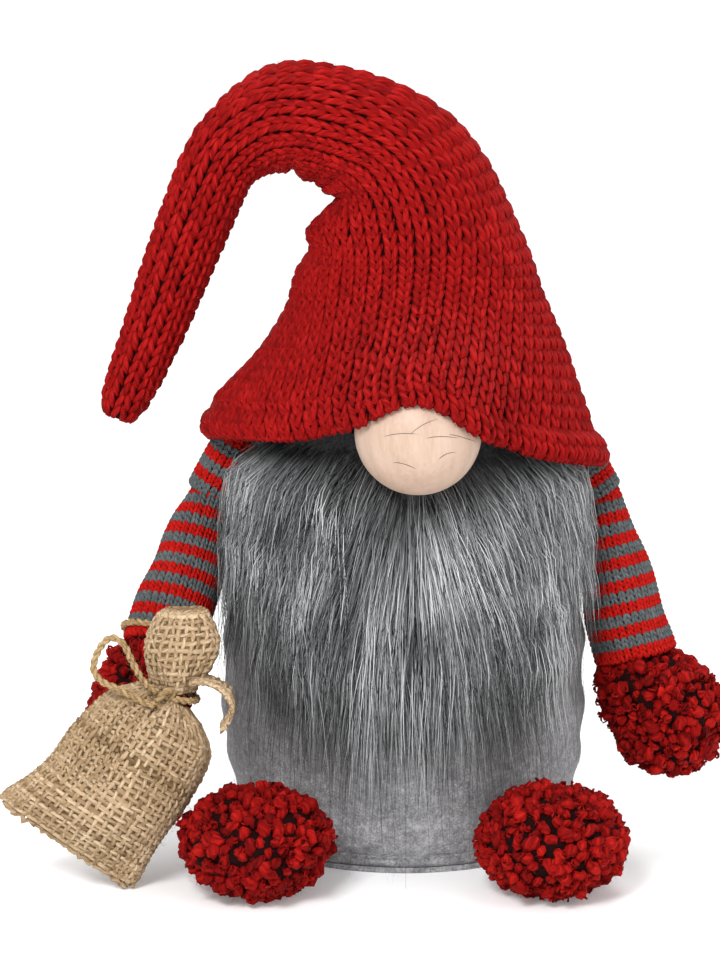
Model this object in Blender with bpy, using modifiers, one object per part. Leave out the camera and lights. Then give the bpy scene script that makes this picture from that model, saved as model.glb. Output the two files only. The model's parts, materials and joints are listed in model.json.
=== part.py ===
"""A knitted-hat tomte gnome, about 30 cm tall, as separate sewn, stuffed, tied and glued pieces.

The gnome stands on Z = 0 with the centre of its base at the origin and faces -Y.
"left" in a name is the gnome's place at -X, where it holds the sack; "right" is at +X.
Values and tables are in millimetres, and MM turns them into the scene's metres.
Pieces that move hang from an empty on their joint's axis.
"""

import math

import bmesh
import bpy
from mathutils import Matrix, Vector

MM = 0.001

# ---- Clearances and cloth thicknesses ----
TOUCH_GAP = 0.3        # between pieces that lie against each other
SEAM_GAP = 0.6         # where one soft piece is sewn to the next
FELT_WALL = 2.5        # body felt
KNIT_WALL = 2.6        # hat stockinette
SLEEVE_WALL = 2.0      # sleeve stockinette
BOUCLE_WALL = 3.0      # mitten and foot covers
BURLAP_WALL = 1.4      # sack cloth

# ---- Felt body: a turned bag that bulges low and closes in a dome under the hat ----
BODY_RADIUS = 70.0
BODY_HEIGHT = 179.0
BASE_THICKNESS = 2.0
BOARD_THICKNESS = 2.0
PELLET_TOP = 28.0
# share of the height, share of the radius, from the hem to the crown of the dome
BODY_PROFILE = [
    (0.0, 0.83), (0.045, 0.895), (0.09, 0.93), (0.18, 0.98), (0.30, 1.0), (0.40, 0.99),
    (0.51, 0.957), (0.64, 0.914), (0.73, 0.871), (0.79, 0.843), (0.835, 0.786),
    (0.888, 0.686), (0.94, 0.543), (0.98, 0.34), (1.0, 0.0),
]

# ---- Nose: a turned wooden ball glued to the front ----
NOSE_DIAMETER = 45.0
NOSE_X = 4.0
NOSE_BELOW_TOP = 13.0  # centre of the nose below the top of the body
GLUE_THICKNESS = 1.2

# ---- Hat ----
BRIM_BELOW_TOP = 30.0   # mean brim height below the top of the body
BRIM_OUTSIDE_BODY = 5.5 # brim radius over the body's largest radius
FOLD_RADIUS = 26.0      # hat radius where it folds over
FOLD_PIVOT = (-18.0, 120.0)    # x, and height over the brim
BRIDGE_LENGTH = 42.0
BRIDGE_END_RADIUS = 13.0
HAT_DEPTH_SHARE = 0.97
NOSE_COVER = 1.0        # room between nose and the inside of the hat
DRAPE_SAG = 0.133       # how far the cloth's flats sag towards the nose, as a share of its radius
WIRE_DIAMETER = 2.4
# crown rows: x, height over the brim, slope of the row in degrees,
# share of the way from the fold radius to the brim radius, rise of the row's front, rise over the nose
CROWN_ROWS = [
    (0.5, 0.0, -4.0, 1.0, 12.0, 16.0),
    (-2.0, 10.0, -3.0, 0.93, 10.0, 14.0),
    (-1.5, 22.0, -2.0, 0.82, 7.0, 11.0),
    (1.5, 37.0, 0.0, 0.63, 4.0, 8.0),
    (3.5, 56.0, 0.0, 0.43, 1.0, 3.0),
    (3.5, 72.0, 1.0, 0.32, 0.0, 0.0),
    (1.0, 87.0, 4.0, 0.26, 0.0, 0.0),
    (-3.0, 101.5, 14.0, 0.12, 0.0, 0.0),
    (-8.5, 112.0, 38.0, 0.06, 0.0, 0.0),
    (-18.0, 120.0, 65.0, 0.0, 0.0, 0.0),
]
# tail rows from the bend's pivot: x, z, radius
TAIL_ROWS = [
    (-6.3, -10.6, 17.0), (-12.5, -20.0, 14.6), (-19.0, -31.5, 12.9), (-30.5, -54.5, 11.4),
    (-41.0, -80.5, 10.0), (-48.0, -98.5, 8.4), (-51.0, -105.5, 5.6),
]
TAIL_END = (-52.2, -108.5)
# filling over the dome: x, height over the brim, radius
FILLING_ROWS = [(0, 36, 34), (0, 46, 37), (0, 62, 32), (0, 78, 27), (-1, 90, 22), (-1, 93, 10)]
# the wire's way up to the fold, from the fold's pivot: x, y, z
WIRE_ROUTE = [(10, 38, -74), (10, 34, -58), (10, 29, -42), (9, 22, -26), (9, 13, -13),
              (2.2, 2.5, -1.5)]

# ---- Beard ----
BEARD_TOP_BELOW = 18.0      # beard's upper edge below the top of the body
BEARD_BACKING = 1.6
BEARD_GAP = 1.7             # under the backing and under the pile, whose rows differ in height
# pile rows: share of the way down, half-angle in degrees, thickness
BEARD_LENGTH = 102.0
BACKING_LENGTH = 62.0
BEARD_ROWS = [
    (0.0, 53.0, 9.0), (0.12, 54.0, 11.5), (0.3, 52.0, 12.0), (0.5, 47.0, 11.5),
    (0.7, 40.0, 10.0), (0.88, 30.0, 7.0), (1.0, 20.0, 3.0),
]

# ---- Arms ----
SHOULDER_BELOW_TOP = 48.0
SHOULDER_RADIUS = 9.5
CUFF_RADIUS = 14.5
SLEEVE_LENGTH = 63.0
SLEEVE_START = 4.0
TAB_BALL_RADIUS = 4.6
TAB_NECK_RADIUS = 2.4
MITTEN_LENGTH = 44.0
MITTEN_RADIUS = 21.5
MITTEN_WRIST_RADIUS = 12.5
RIGHT_ARM_FORWARD = 9.0     # degrees ahead of vertical
LEFT_ARM_FORWARD = 27.0
RIGHT_CUFF_GAP = 1.2        # between the cuff and the body
LEFT_CUFF_GAP = 6.0
PRESSED_MITTEN_WIDTH = 0.80 # the sack presses the left mitten narrower and flatter
PRESSED_MITTEN_DEPTH = 0.72

# ---- Feet ----
FOOT_HALF_WIDTH = 27.0
FOOT_HALF_LENGTH = 29.0
FOOT_HALF_HEIGHT = 19.0
FOOT_AHEAD_OF_BODY = 14.8   # foot centre ahead of the body's side behind it
FOOT_OPEN_ANGLE = 28.0      # the cover's open back and its toe, in degrees round its length
FOOT_TOE_ANGLE = 176.0
LEFT_FOOT_X = -53.5
RIGHT_FOOT_X = 52.0
FOOT_HINGE_HEIGHT = 4.0

# ---- Sack and twine ----
TWINE_DIAMETER = 2.6
SACK_NECK_RADIUS = 7.6
NECK_AHEAD_OF_MITTEN = 5.5  # free room between the mitten and the neck's tie
NECK_FROM_WRIST = (5.5, -7.0)   # x and z of the neck from the end of the sleeve
SACK_LEAN = 35.3            # degrees from vertical, bottom towards -X
SACK_TIP_FORWARD = 12.0     # the bottom lies this much ahead of the neck, in degrees
# along the bag from the tie: distance, extent to its left, extent to its right, half thickness
SACK_ROWS = [
    (6.0, 13.5, 19.5, 10.0), (13.0, 19.5, 26.5, 13.5), (28.0, 21.5, 27.0, 17.0),
    (42.0, 22.5, 27.5, 17.0), (54.0, 26.5, 28.5, 12.0), (64.0, 29.5, 28.5, 4.5),
]
# the gathered mouth over the tie, from the tie: x, y, z, half width, half thickness
FRILL_ROWS = [
    (4.5, 3.0, 28.0, 8.5, 6.0), (4.0, 2.5, 23.0, 11.5, 7.5),
    (2.5, 1.5, 14.0, 12.0, 8.5), (1.0, 0.5, 6.0, 10.0, 8.0),
]
# the bow's one loop, from the tie: x, y, z
BOW_ROUTE = [
    (-4.0, -11.5, 2.0), (-9.0, -12.0, 6.0), (-13.0, -12.0, 13.0), (-16.5, -11.0, 20.0),
    (-21.0, -10.5, 22.0), (-25.0, -11.0, 18.0), (-27.0, -12.5, 11.5), (-24.0, -14.0, 7.0),
    (-17.0, -15.0, 4.0), (-10.0, -15.0, 0.0), (-5.0, -15.5, -1.5),
]

ROUND = 24              # points round a body-sized ring
SMALL_ROUND = 16        # points round an arm, a foot or the sack


# ---- Scene ----
def clear_scene():
    for old in list(bpy.data.objects):
        bpy.data.objects.remove(old, do_unlink=True)


def new_collection(name):
    collection = bpy.data.collections.new(name)
    bpy.context.scene.collection.children.link(collection)
    return collection


clear_scene()
GNOME = new_collection("tomte_gnome")
CUTTERS = new_collection("cutters")


def finish(name, colour, roughness, metallic=0.0):
    """A plain material in the piece's own colour."""
    made = bpy.data.materials.new(name)
    made.use_nodes = True
    shader = made.node_tree.nodes["Principled BSDF"]
    shader.inputs["Base Color"].default_value = (*colour, 1.0)
    shader.inputs["Roughness"].default_value = roughness
    shader.inputs["Metallic"].default_value = metallic
    made.diffuse_color = (*colour, 1.0)
    return made


RED_WOOL = (0.45, 0.015, 0.02)
GREY_FELT = (0.30, 0.30, 0.31)
GREY_FUR = (0.22, 0.22, 0.22)
PALE_WOOD = (0.80, 0.58, 0.45)
JUTE = (0.52, 0.38, 0.22)
FIBREFILL = (0.85, 0.85, 0.83)
STEEL = (0.35, 0.35, 0.36)


def pivot(name, place, parent=None):
    """An empty on a joint's axis; place is in millimetres in the gnome's frame."""
    empty = bpy.data.objects.new(name, None)
    empty.empty_display_size = 8 * MM
    GNOME.objects.link(empty)
    empty.location = Vector(place) * MM
    if parent:
        empty.parent = parent
        empty.location = Vector(place) * MM - parent_place(parent)
    return empty


def parent_place(obj):
    place = Vector(obj.location)
    while obj.parent:
        obj = obj.parent
        place += Vector(obj.location)
    return place


def add_piece(name, mesh, material, parent=None):
    """Links a mesh whose points are in the gnome's frame, and hangs it from its joint's empty."""
    obj = bpy.data.objects.new(name, mesh)
    GNOME.objects.link(obj)
    mesh.materials.append(material)
    if parent:
        place = parent_place(parent)
        mesh.transform(Matrix.Translation(-place))
        obj.parent = parent
    mesh.shade_smooth()
    mesh.set_sharp_from_angle(angle=math.radians(40))
    return obj


# ---- Shapes ----
def ring(centre, side, depth, left, right, front, back, count):
    """An oval of points: side and depth are its unit axes, and depth points to the gnome's back."""
    points = []
    for step in range(count):
        turn = 2 * math.pi * step / count
        across = math.sin(turn)
        inward = -math.cos(turn)
        points.append(
            Vector(centre)
            + Vector(side) * across * (right if across > 0 else left)
            + Vector(depth) * inward * (back if inward > 0 else front)
        )
    return points


def round_ring(centre, tangent, radius, count, depth_share=1.0):
    """A ring square to its tangent, with its depth axis as near +Y as it goes."""
    along = Vector(tangent).normalized()
    side = along.cross(Vector((0, 1, 0)))
    side = Vector((1, 0, 0)) if side.length < 0.2 else side.normalized()
    depth = side.cross(along).normalized()
    if depth.y < 0 or (abs(depth.y) < 0.2 and depth.z < 0):
        depth = -depth
    return ring(centre, side, depth, radius, radius,
                radius * depth_share, radius * depth_share, count)


def loft(name, rings, close_start=True, close_end=True):
    """A skin over the rings, with its faces turned outwards."""
    form = bmesh.new()
    rows = [[form.verts.new(point * MM) for point in points] for points in rings]
    count = len(rings[0])
    for lower, upper in zip(rows, rows[1:]):
        for step in range(count):
            after = (step + 1) % count
            form.faces.new((lower[step], lower[after], upper[after], upper[step]))
    if close_start:
        form.faces.new(rows[0])
    if close_end:
        form.faces.new(rows[-1])
    bmesh.ops.recalc_face_normals(form, faces=form.faces)
    form.normal_update()
    middle = sum((v.co for v in rows[0]), Vector()) / count
    first = next(f for f in form.faces if rows[0][0] in f.verts and rows[1][0] in f.verts)
    if first.normal.dot(first.calc_center_median() - middle) < 0:
        bmesh.ops.reverse_faces(form, faces=form.faces)
    mesh = bpy.data.meshes.new(name)
    form.to_mesh(mesh)
    form.free()
    return mesh


def give_wall(obj, wall):
    """Turns an open skin into cloth that grows inwards from it."""
    solid = obj.modifiers.new("cloth", "SOLIDIFY")
    solid.thickness = wall * MM
    solid.offset = -1.0
    solid.use_even_offset = True
    solid.thickness_clamp = 1.0
    return obj


def cloth_piece(name, rings, wall, material, parent=None, close_start=False, close_end=False):
    return give_wall(add_piece(name, loft(name, rings, close_start, close_end),
                               material, parent), wall)


def solid_piece(name, rings, material, parent=None):
    return add_piece(name, loft(name, rings), material, parent)


def turned(name, profile, material, wall=None):
    """A piece turned about Z from (radius, height) points given from the top down."""
    form = bmesh.new()
    points = [form.verts.new((radius * MM, 0, height * MM)) for radius, height in profile]
    for upper, lower in zip(points, points[1:]):
        form.edges.new((upper, lower))
    mesh = bpy.data.meshes.new(name)
    form.to_mesh(mesh)
    form.free()
    obj = add_piece(name, mesh, material)
    screw = obj.modifiers.new("turn", "SCREW")
    screw.steps = ROUND
    screw.render_steps = ROUND
    screw.use_merge_vertices = True
    screw.merge_threshold = 0.00005
    screw.use_normal_calculate = False
    if wall:
        give_wall(obj, wall)
    return obj


def disc(name, radius, bottom, thickness, material):
    bpy.ops.mesh.primitive_cylinder_add(vertices=48, radius=radius * MM, depth=thickness * MM)
    made = bpy.context.object
    mesh = made.data
    bpy.data.objects.remove(made)
    mesh.transform(Matrix.Translation((0, 0, (bottom + thickness / 2) * MM)))
    return add_piece(name, mesh, material)


def ball(name, centre, radius, material, segments=24, rings=14):
    form = bmesh.new()
    bmesh.ops.create_uvsphere(form, u_segments=segments, v_segments=rings, radius=radius * MM,
                              matrix=Matrix.Translation(Vector(centre) * MM))
    mesh = bpy.data.meshes.new(name)
    form.to_mesh(mesh)
    form.free()
    return add_piece(name, mesh, material)


def smooth_route(points, steps):
    """Points read from a smooth curve through a route's own points."""
    points = [Vector(p) for p in points]
    ends = [2 * points[0] - points[1], *points, 2 * points[-1] - points[-2]]
    route = []
    for before, start, end, after in zip(ends, ends[1:], ends[2:], ends[3:]):
        for step in range(steps):
            t = step / steps
            route.append(0.5 * (2 * start + (end - before) * t
                                + (2 * before - 5 * start + 4 * end - after) * t * t
                                + (3 * start - before - 3 * end + after) * t * t * t))
    return [*route, points[-1]]


def strand(name, route, diameter, material, parent=None, cyclic=False):
    """A wire or twine: a bevelled curve with filled ends, made a mesh."""
    curve = bpy.data.curves.new(name, "CURVE")
    curve.dimensions = "3D"
    curve.bevel_depth = diameter / 2 * MM
    curve.bevel_resolution = 2
    curve.use_fill_caps = not cyclic
    spline = curve.splines.new("POLY")
    spline.points.add(len(route) - 1)
    for point, place in zip(spline.points, route):
        point.co = (*(Vector(place) * MM), 1.0)
    spline.use_cyclic_u = cyclic
    guide = bpy.data.objects.new(name + "_guide", curve)
    bpy.context.scene.collection.objects.link(guide)
    evaluated = guide.evaluated_get(bpy.context.evaluated_depsgraph_get())
    mesh = bpy.data.meshes.new_from_object(evaluated)
    mesh.name = name
    bpy.data.objects.remove(guide)
    form = bmesh.new()
    form.from_mesh(mesh)
    bmesh.ops.remove_doubles(form, verts=form.verts, dist=0.00001)
    bmesh.ops.recalc_face_normals(form, faces=form.faces)
    form.to_mesh(mesh)
    form.free()
    mesh.materials.clear()
    return add_piece(name, mesh, material, parent)


# ---- The body's own surface, which the beard, arms, nose and feet follow ----
HEM = BASE_THICKNESS + TOUCH_GAP


def body_radius(height):
    """Outer radius of the felt at a height."""
    share = (height - HEM) / (BODY_HEIGHT - HEM)
    share = min(max(share, 0.0), 1.0)
    for (low, near), (high, far) in zip(BODY_PROFILE, BODY_PROFILE[1:]):
        if share <= high:
            return BODY_RADIUS * (near + (far - near) * (share - low) / (high - low))
    return 0.0


def body_profile(inset, bottom, top):
    """(radius, height) points of the body's surface drawn in by inset, from the top down."""
    heights = [HEM + share * (BODY_HEIGHT - HEM) for share, _ in BODY_PROFILE]
    inner = [height for height in heights if bottom < height < top]
    rows = [(max(body_radius(height) - inset, 0.0), height) for height in (bottom, *inner, top)]
    return rows[::-1]


# ---- Base and body ----
def make_body():
    hem_radius = body_radius(HEM)
    disc("base_felt", hem_radius, 0.0, BASE_THICKNESS, finish("base_felt", GREY_FELT, 0.95))
    board_bottom = BASE_THICKNESS + TOUCH_GAP
    board_radius = hem_radius - FELT_WALL - SEAM_GAP - 1.0
    disc("base_board", board_radius, board_bottom, BOARD_THICKNESS,
         finish("base_board", (0.45, 0.33, 0.2), 0.8))
    skin = [(body_radius(h), h) for h in
            (HEM + share * (BODY_HEIGHT - HEM) for share, _ in BODY_PROFILE)][::-1]
    turned("body_felt", skin, finish("body_felt", GREY_FELT, 0.95), FELT_WALL)

    inset = FELT_WALL + SEAM_GAP
    bag_bottom = board_bottom + BOARD_THICKNESS + TOUCH_GAP
    bag_side = body_profile(inset, bag_bottom + 4.0, PELLET_TOP - 4.0)
    bag = [(0.0, PELLET_TOP), (bag_side[0][0] * 0.75, PELLET_TOP), *bag_side,
           (board_radius, bag_bottom), (0.0, bag_bottom)]
    turned("pellet_bag", bag, finish("pellet_bag", (0.75, 0.72, 0.66), 0.7))
    filling_bottom = PELLET_TOP + TOUCH_GAP
    drop = FELT_WALL + 2 * SEAM_GAP
    side = [(radius, height - drop) for radius, height
            in body_profile(inset + SEAM_GAP, filling_bottom + drop, BODY_HEIGHT - drop)]
    filling = [(0.0, side[0][1]), *side, (0.0, filling_bottom)]
    turned("body_stuffing", filling, finish("body_stuffing", FIBREFILL, 0.9))


# ---- Nose ----
NOSE_RADIUS = NOSE_DIAMETER / 2
NOSE_HEIGHT = BODY_HEIGHT - NOSE_BELOW_TOP


def nearest_on_body(place):
    """The body's point nearest to a place ahead of it, in the plane through the body's axis."""
    reach = Vector((math.hypot(place[0], place[1]), place[2]))
    samples = [HEM + (BODY_HEIGHT - HEM) * step / 400 for step in range(401)]
    nearest = min((Vector((body_radius(h), h)) for h in samples), key=lambda p: (p - reach).length)
    return nearest, (nearest - reach).length


def seat_nose():
    """The nose's centre, as far forward as its glue needs."""
    forward = BODY_RADIUS * 0.6
    while True:
        place = (NOSE_X, -forward, NOSE_HEIGHT)
        nearest, gap = nearest_on_body(place)
        if gap >= NOSE_RADIUS + GLUE_THICKNESS + 2 * TOUCH_GAP:
            return Vector(place), nearest
        forward += 0.25


NOSE_CENTRE, NOSE_SEAT = seat_nose()


def make_nose():
    ball("nose_ball", NOSE_CENTRE, NOSE_RADIUS, finish("nose_ball", PALE_WOOD, 0.5))
    out = Vector((NOSE_CENTRE.x, NOSE_CENTRE.y, 0)).normalized()
    seat = Vector((out.x * NOSE_SEAT.x, out.y * NOSE_SEAT.x, NOSE_SEAT.y))
    to_nose = (NOSE_CENTRE - seat).normalized()
    near = seat + to_nose * (TOUCH_GAP + 0.25)
    far = NOSE_CENTRE - to_nose * (NOSE_RADIUS + TOUCH_GAP)
    rows = [round_ring(near, to_nose, 3.0, 12), round_ring(far, to_nose, 4.0, 12)]
    solid_piece("nose_glue", rows, finish("nose_glue", (0.8, 0.75, 0.6), 0.3))


# ---- Beard ----
def beard_slab(name, length, inner_gap, thickness_of, material):
    """A curved slab on the body's front, hollowed where the nose presses into it."""
    top = BODY_HEIGHT - BEARD_TOP_BELOW
    columns = 14
    rings = []
    for share, half_angle, _ in BEARD_ROWS:
        height = top - length * share
        inner = body_radius(height) + inner_gap
        outer = inner + thickness_of(share)
        points = []
        for radius, order in ((inner, 1), (outer, -1)):
            for column in range(columns + 1)[::order]:
                turn = math.radians(half_angle) * (2 * column / columns - 1)
                points.append(Vector((radius * math.sin(turn), -radius * math.cos(turn), height)))
        rings.append(points)
    form = solid_piece(name, rings, material)
    bmesh_out = bmesh.new()
    bmesh_out.from_mesh(form.data)
    bmesh.ops.recalc_face_normals(bmesh_out, faces=bmesh_out.faces)
    bmesh_out.to_mesh(form.data)
    bmesh_out.free()
    cut = form.modifiers.new("nose_room", "BOOLEAN")
    cut.operation = "DIFFERENCE"
    cut.object = NOSE_ROOM
    return form


def pile_thickness(share):
    for (low, _, near), (high, _, far) in zip(BEARD_ROWS, BEARD_ROWS[1:]):
        if share <= high:
            return near + (far - near) * (share - low) / (high - low)
    return BEARD_ROWS[-1][2]


def make_nose_room():
    """The cutter that leaves room for the nose in the beard."""
    room = ball("nose_room", NOSE_CENTRE, NOSE_RADIUS + GLUE_THICKNESS + 4 * SEAM_GAP,
                finish("nose_room", PALE_WOOD, 0.5), 20, 12)
    GNOME.objects.unlink(room)
    CUTTERS.objects.link(room)
    room.hide_render = True
    room.display_type = "WIRE"
    return room


NOSE_ROOM = make_nose_room()


def make_beard():
    beard_slab("beard_backing", BACKING_LENGTH, BEARD_GAP, lambda share: BEARD_BACKING,
               finish("beard_backing", (0.2, 0.2, 0.2), 0.9))
    beard_slab("beard_pile", BEARD_LENGTH, BEARD_BACKING + 2 * BEARD_GAP, pile_thickness,
               finish("beard_pile", GREY_FUR, 0.7))


# ---- Hat ----
BRIM_HEIGHT = BODY_HEIGHT - BRIM_BELOW_TOP
BRIM_RADIUS = BODY_RADIUS + BRIM_OUTSIDE_BODY
FOLD = Vector((FOLD_PIVOT[0], 0.0, BRIM_HEIGHT + FOLD_PIVOT[1]))
BEND = FOLD + Vector((-BRIDGE_LENGTH, 0.0, 0.0))
BRIDGE_START_RADIUS = FOLD_RADIUS - KNIT_WALL - 1.9


def drape_over_nose(point):
    """Moves a point of the hat forward until the cloth passes in front of the nose."""
    reach = NOSE_RADIUS * (1 + DRAPE_SAG) + NOSE_COVER + KNIT_WALL
    across = point.x - NOSE_CENTRE.x
    above = point.z - NOSE_CENTRE.z
    inside = reach * reach - across * across - above * above
    if inside > 0 and point.y < 0:
        point.y = min(point.y, NOSE_CENTRE.y - math.sqrt(inside))
    return point


def crown_rows():
    rows = []
    for x, height, slope, share, front_rise, nose_rise in CROWN_ROWS:
        radius = FOLD_RADIUS + (BRIM_RADIUS - FOLD_RADIUS) * share
        tilt = math.radians(slope)
        side = Vector((math.cos(tilt), 0, math.sin(tilt)))
        depth = radius * HAT_DEPTH_SHARE
        points = ring((x, 0, BRIM_HEIGHT + height), side, (0, 1, 0),
                      radius, radius, depth, depth, 36)
        for point in points:
            ahead = max(-point.y / depth, 0.0)
            beside = (point.x - NOSE_CENTRE.x) / (NOSE_RADIUS * 1.15)
            point.z += front_rise * ahead
            if point.y < 0:
                point.z += nose_rise * math.exp(-beside * beside)
            drape_over_nose(point)
        rows.append(points)
    return rows


def make_hat():
    red = finish("hat_crown", RED_WOOL, 0.9)
    cloth_piece("hat_crown", crown_rows(), KNIT_WALL, red)
    rings = [round_ring((x, -4.0, BRIM_HEIGHT + z), (0, 0, 1), r, SMALL_ROUND)
             for x, z, r in FILLING_ROWS]
    solid_piece("hat_crown_filling", rings, finish("hat_crown_filling", FIBREFILL, 0.9))
    steel = finish("hat_wire_lower", STEEL, 0.4, 0.9)
    strand("hat_wire_lower", smooth_route([FOLD + Vector(p) for p in WIRE_ROUTE], 3),
           WIRE_DIAMETER, steel)

    fold = pivot("hat_fold", FOLD)
    shares = (0.0, 0.33, 0.66, 1.0)
    rings = [round_ring(FOLD.lerp(BEND, share), (-1, 0, 0),
                        BRIDGE_START_RADIUS + (BRIDGE_END_RADIUS - BRIDGE_START_RADIUS) * share, 20)
             for share in shares]
    cloth_piece("hat_bridge", rings, KNIT_WALL - 0.6, finish("hat_bridge", RED_WOOL, 0.9), fold)
    ahead = Vector((-2.5, 0, 0))
    strand("hat_wire_middle", [FOLD + ahead, FOLD.lerp(BEND, 0.5), BEND - ahead],
           WIRE_DIAMETER, finish("hat_wire_middle", STEEL, 0.4, 0.9), fold)

    bend = pivot("hat_tail_bend", BEND, fold)
    centres = [BEND + Vector((x, 0, z)) for x, z, _ in TAIL_ROWS]
    end = BEND + Vector((TAIL_END[0], 0, TAIL_END[1]))
    path = [BEND, *centres, end]
    rings = [round_ring(centre, path[i + 2] - path[i], TAIL_ROWS[i][2], 20)
             for i, centre in enumerate(centres)]
    rings.append(round_ring(end, end - centres[-1], 1.6, 20))
    cloth_piece("hat_tail", rings, KNIT_WALL - 0.6, finish("hat_tail", RED_WOOL, 0.9),
                bend, close_end=True)
    start = BEND + (centres[0] - BEND).normalized() * 3.0
    strand("hat_wire_tail", smooth_route([start, *centres[1:-2]], 2),
           WIRE_DIAMETER, finish("hat_wire_tail", STEEL, 0.4, 0.9), bend)


# ---- Arms ----
SHOULDER_HEIGHT = BODY_HEIGHT - SHOULDER_BELOW_TOP
SHOULDER_X = body_radius(SHOULDER_HEIGHT) + SHOULDER_RADIUS + 1.5
# share of the sleeve's length, radius
SLEEVE_SHAPE = [
    (SLEEVE_START / SLEEVE_LENGTH, SHOULDER_RADIUS),
    (0.3, SHOULDER_RADIUS * 0.55 + CUFF_RADIUS * 0.45), (0.65, CUFF_RADIUS * 0.95),
    (1.0, CUFF_RADIUS),
]
TAB_SHAPE = [(4.45, 1.2), (3.2, 3.3), (0.0, TAB_BALL_RADIUS), (-3.2, 3.3)]  # x outwards, radius
# share of the mitten's length, share of its radius, after the wrist
MITTEN_SHAPE = [(0.08, 0.80), (0.24, 0.96), (0.46, 1.0), (0.70, 0.92), (0.88, 0.66),
                (0.97, 0.36), (1.0, 0.08)]


def arm_direction(side, forward, gap):
    """Where the sleeve points: clear of the body by a gap at the cuff, and forward by an angle."""
    ahead = math.radians(forward)
    drop = SLEEVE_LENGTH * 0.97
    out = 0.0
    for (share, radius), clear in zip(SLEEVE_SHAPE[2:], (SEAM_GAP, gap)):
        clear_x = body_radius(SHOULDER_HEIGHT - drop * share) + radius + clear
        out = max(out, (clear_x - SHOULDER_X) / share)
    return Vector((side * out, -SLEEVE_LENGTH * math.sin(ahead), -drop * math.cos(ahead))).normalized()


def make_arm(name, side, forward, gap, width, depth):
    """Tab, sleeve, mitten and their filling; returns the arm's direction and joint."""
    shoulder = Vector((side * SHOULDER_X, 0, SHOULDER_HEIGHT))
    along = arm_direction(side, forward, gap)
    swing = pivot("arm_swing_" + name, shoulder)
    lift = pivot("arm_lift_" + name, shoulder, swing)

    wall_x = side * (body_radius(SHOULDER_HEIGHT - TAB_NECK_RADIUS) + TOUCH_GAP)
    tab_rows = []
    for outwards, radius in TAB_SHAPE:
        tab_rows.append(round_ring(shoulder + Vector((side * outwards, 0, 0)), (1, 0, 0), radius, 12))
    tab_rows.append(round_ring((wall_x, 0, SHOULDER_HEIGHT), (1, 0, 0), TAB_NECK_RADIUS, 12))
    solid_piece("shoulder_tab_" + name, tab_rows, finish("shoulder_tab_" + name, RED_WOOL, 0.9),
                swing)

    stops = [SLEEVE_LENGTH * share for share, _ in SLEEVE_SHAPE]
    radii = [radius for _, radius in SLEEVE_SHAPE]
    rings = [round_ring(shoulder + along * stop, along, radius, SMALL_ROUND)
             for stop, radius in zip(stops, radii)]
    cloth_piece("sleeve_" + name, rings, SLEEVE_WALL, finish("sleeve_" + name, RED_WOOL, 0.9), lift)
    inner = SLEEVE_WALL + TOUCH_GAP + 0.3
    stops = (TAB_BALL_RADIUS + 4.0, *stops[1:3], SLEEVE_LENGTH - 1.0)
    rings = [round_ring(shoulder + along * stop, along, radius - inner, SMALL_ROUND)
             for stop, radius in zip(stops, radii)]
    solid_piece("arm_stuffing_" + name, rings, finish("arm_stuffing_" + name, FIBREFILL, 0.9), lift)

    wrist = SLEEVE_LENGTH + SEAM_GAP
    shape = [(0.0, MITTEN_WRIST_RADIUS / MITTEN_RADIUS), *MITTEN_SHAPE]
    covers = []
    for share, size in shape:
        centre = shoulder + along * (wrist + MITTEN_LENGTH * share)
        centre.x += side * max(MITTEN_RADIUS * width - CUFF_RADIUS, 0) * min(share * 2.5, 1)
        points = round_ring(centre, along, MITTEN_RADIUS * size, SMALL_ROUND)
        covers.append([centre + Vector(((p.x - centre.x) * width, (p.y - centre.y) * depth,
                                        p.z - centre.z)) for p in points])
    cloth_piece("mitten_" + name, covers, BOUCLE_WALL, finish("mitten_" + name, RED_WOOL, 0.95),
                lift, close_end=True)
    inner = BOUCLE_WALL + 3 * SEAM_GAP
    fills = []
    for points in covers[2:-3]:
        centre = sum(points, Vector()) / len(points)
        fills.append([centre + (p - centre) * (1 - inner / (p - centre).length) for p in points])
    solid_piece("mitten_stuffing_" + name, fills,
                finish("mitten_stuffing_" + name, FIBREFILL, 0.9), lift)
    return shoulder, along, lift


# ---- Feet ----
def make_foot(name, x):
    side = body_radius(FOOT_HALF_HEIGHT * (1 + math.sin(math.radians(FOOT_OPEN_ANGLE))))
    centre = Vector((x, -side - FOOT_AHEAD_OF_BODY, FOOT_HALF_HEIGHT + TOUCH_GAP))
    hinge = pivot("foot_tilt_" + name, (x, 2.0 - body_radius(HEM), FOOT_HINGE_HEIGHT))
    rings = []
    fills = []
    inner = BOUCLE_WALL + SEAM_GAP
    steps = 9
    for step in range(steps):
        turn = math.radians(FOOT_OPEN_ANGLE
                            + (FOOT_TOE_ANGLE - FOOT_OPEN_ANGLE) * step / (steps - 1))
        y = centre.y + FOOT_HALF_LENGTH * math.cos(turn)
        size = math.sin(turn)
        rings.append(ring((x, y, centre.z), (1, 0, 0), (0, 0, 1), FOOT_HALF_WIDTH * size,
                          FOOT_HALF_WIDTH * size, FOOT_HALF_HEIGHT * size,
                          FOOT_HALF_HEIGHT * size, SMALL_ROUND))
        if 0 < step < steps - 1:
            y = centre.y + (FOOT_HALF_LENGTH - inner) * math.cos(turn)
            wide = (FOOT_HALF_WIDTH - inner - 0.5) * size
            high = (FOOT_HALF_HEIGHT - inner - 0.5) * size
            fills.append(ring((x, y, centre.z), (1, 0, 0), (0, 0, 1), wide, wide, high, high,
                              SMALL_ROUND))
    cloth_piece("foot_cover_" + name, rings, BOUCLE_WALL,
                finish("foot_cover_" + name, RED_WOOL, 0.95), hinge, close_end=True)
    solid_piece("foot_stuffing_" + name, fills, finish("foot_stuffing_" + name, FIBREFILL, 0.9),
                hinge)


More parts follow.
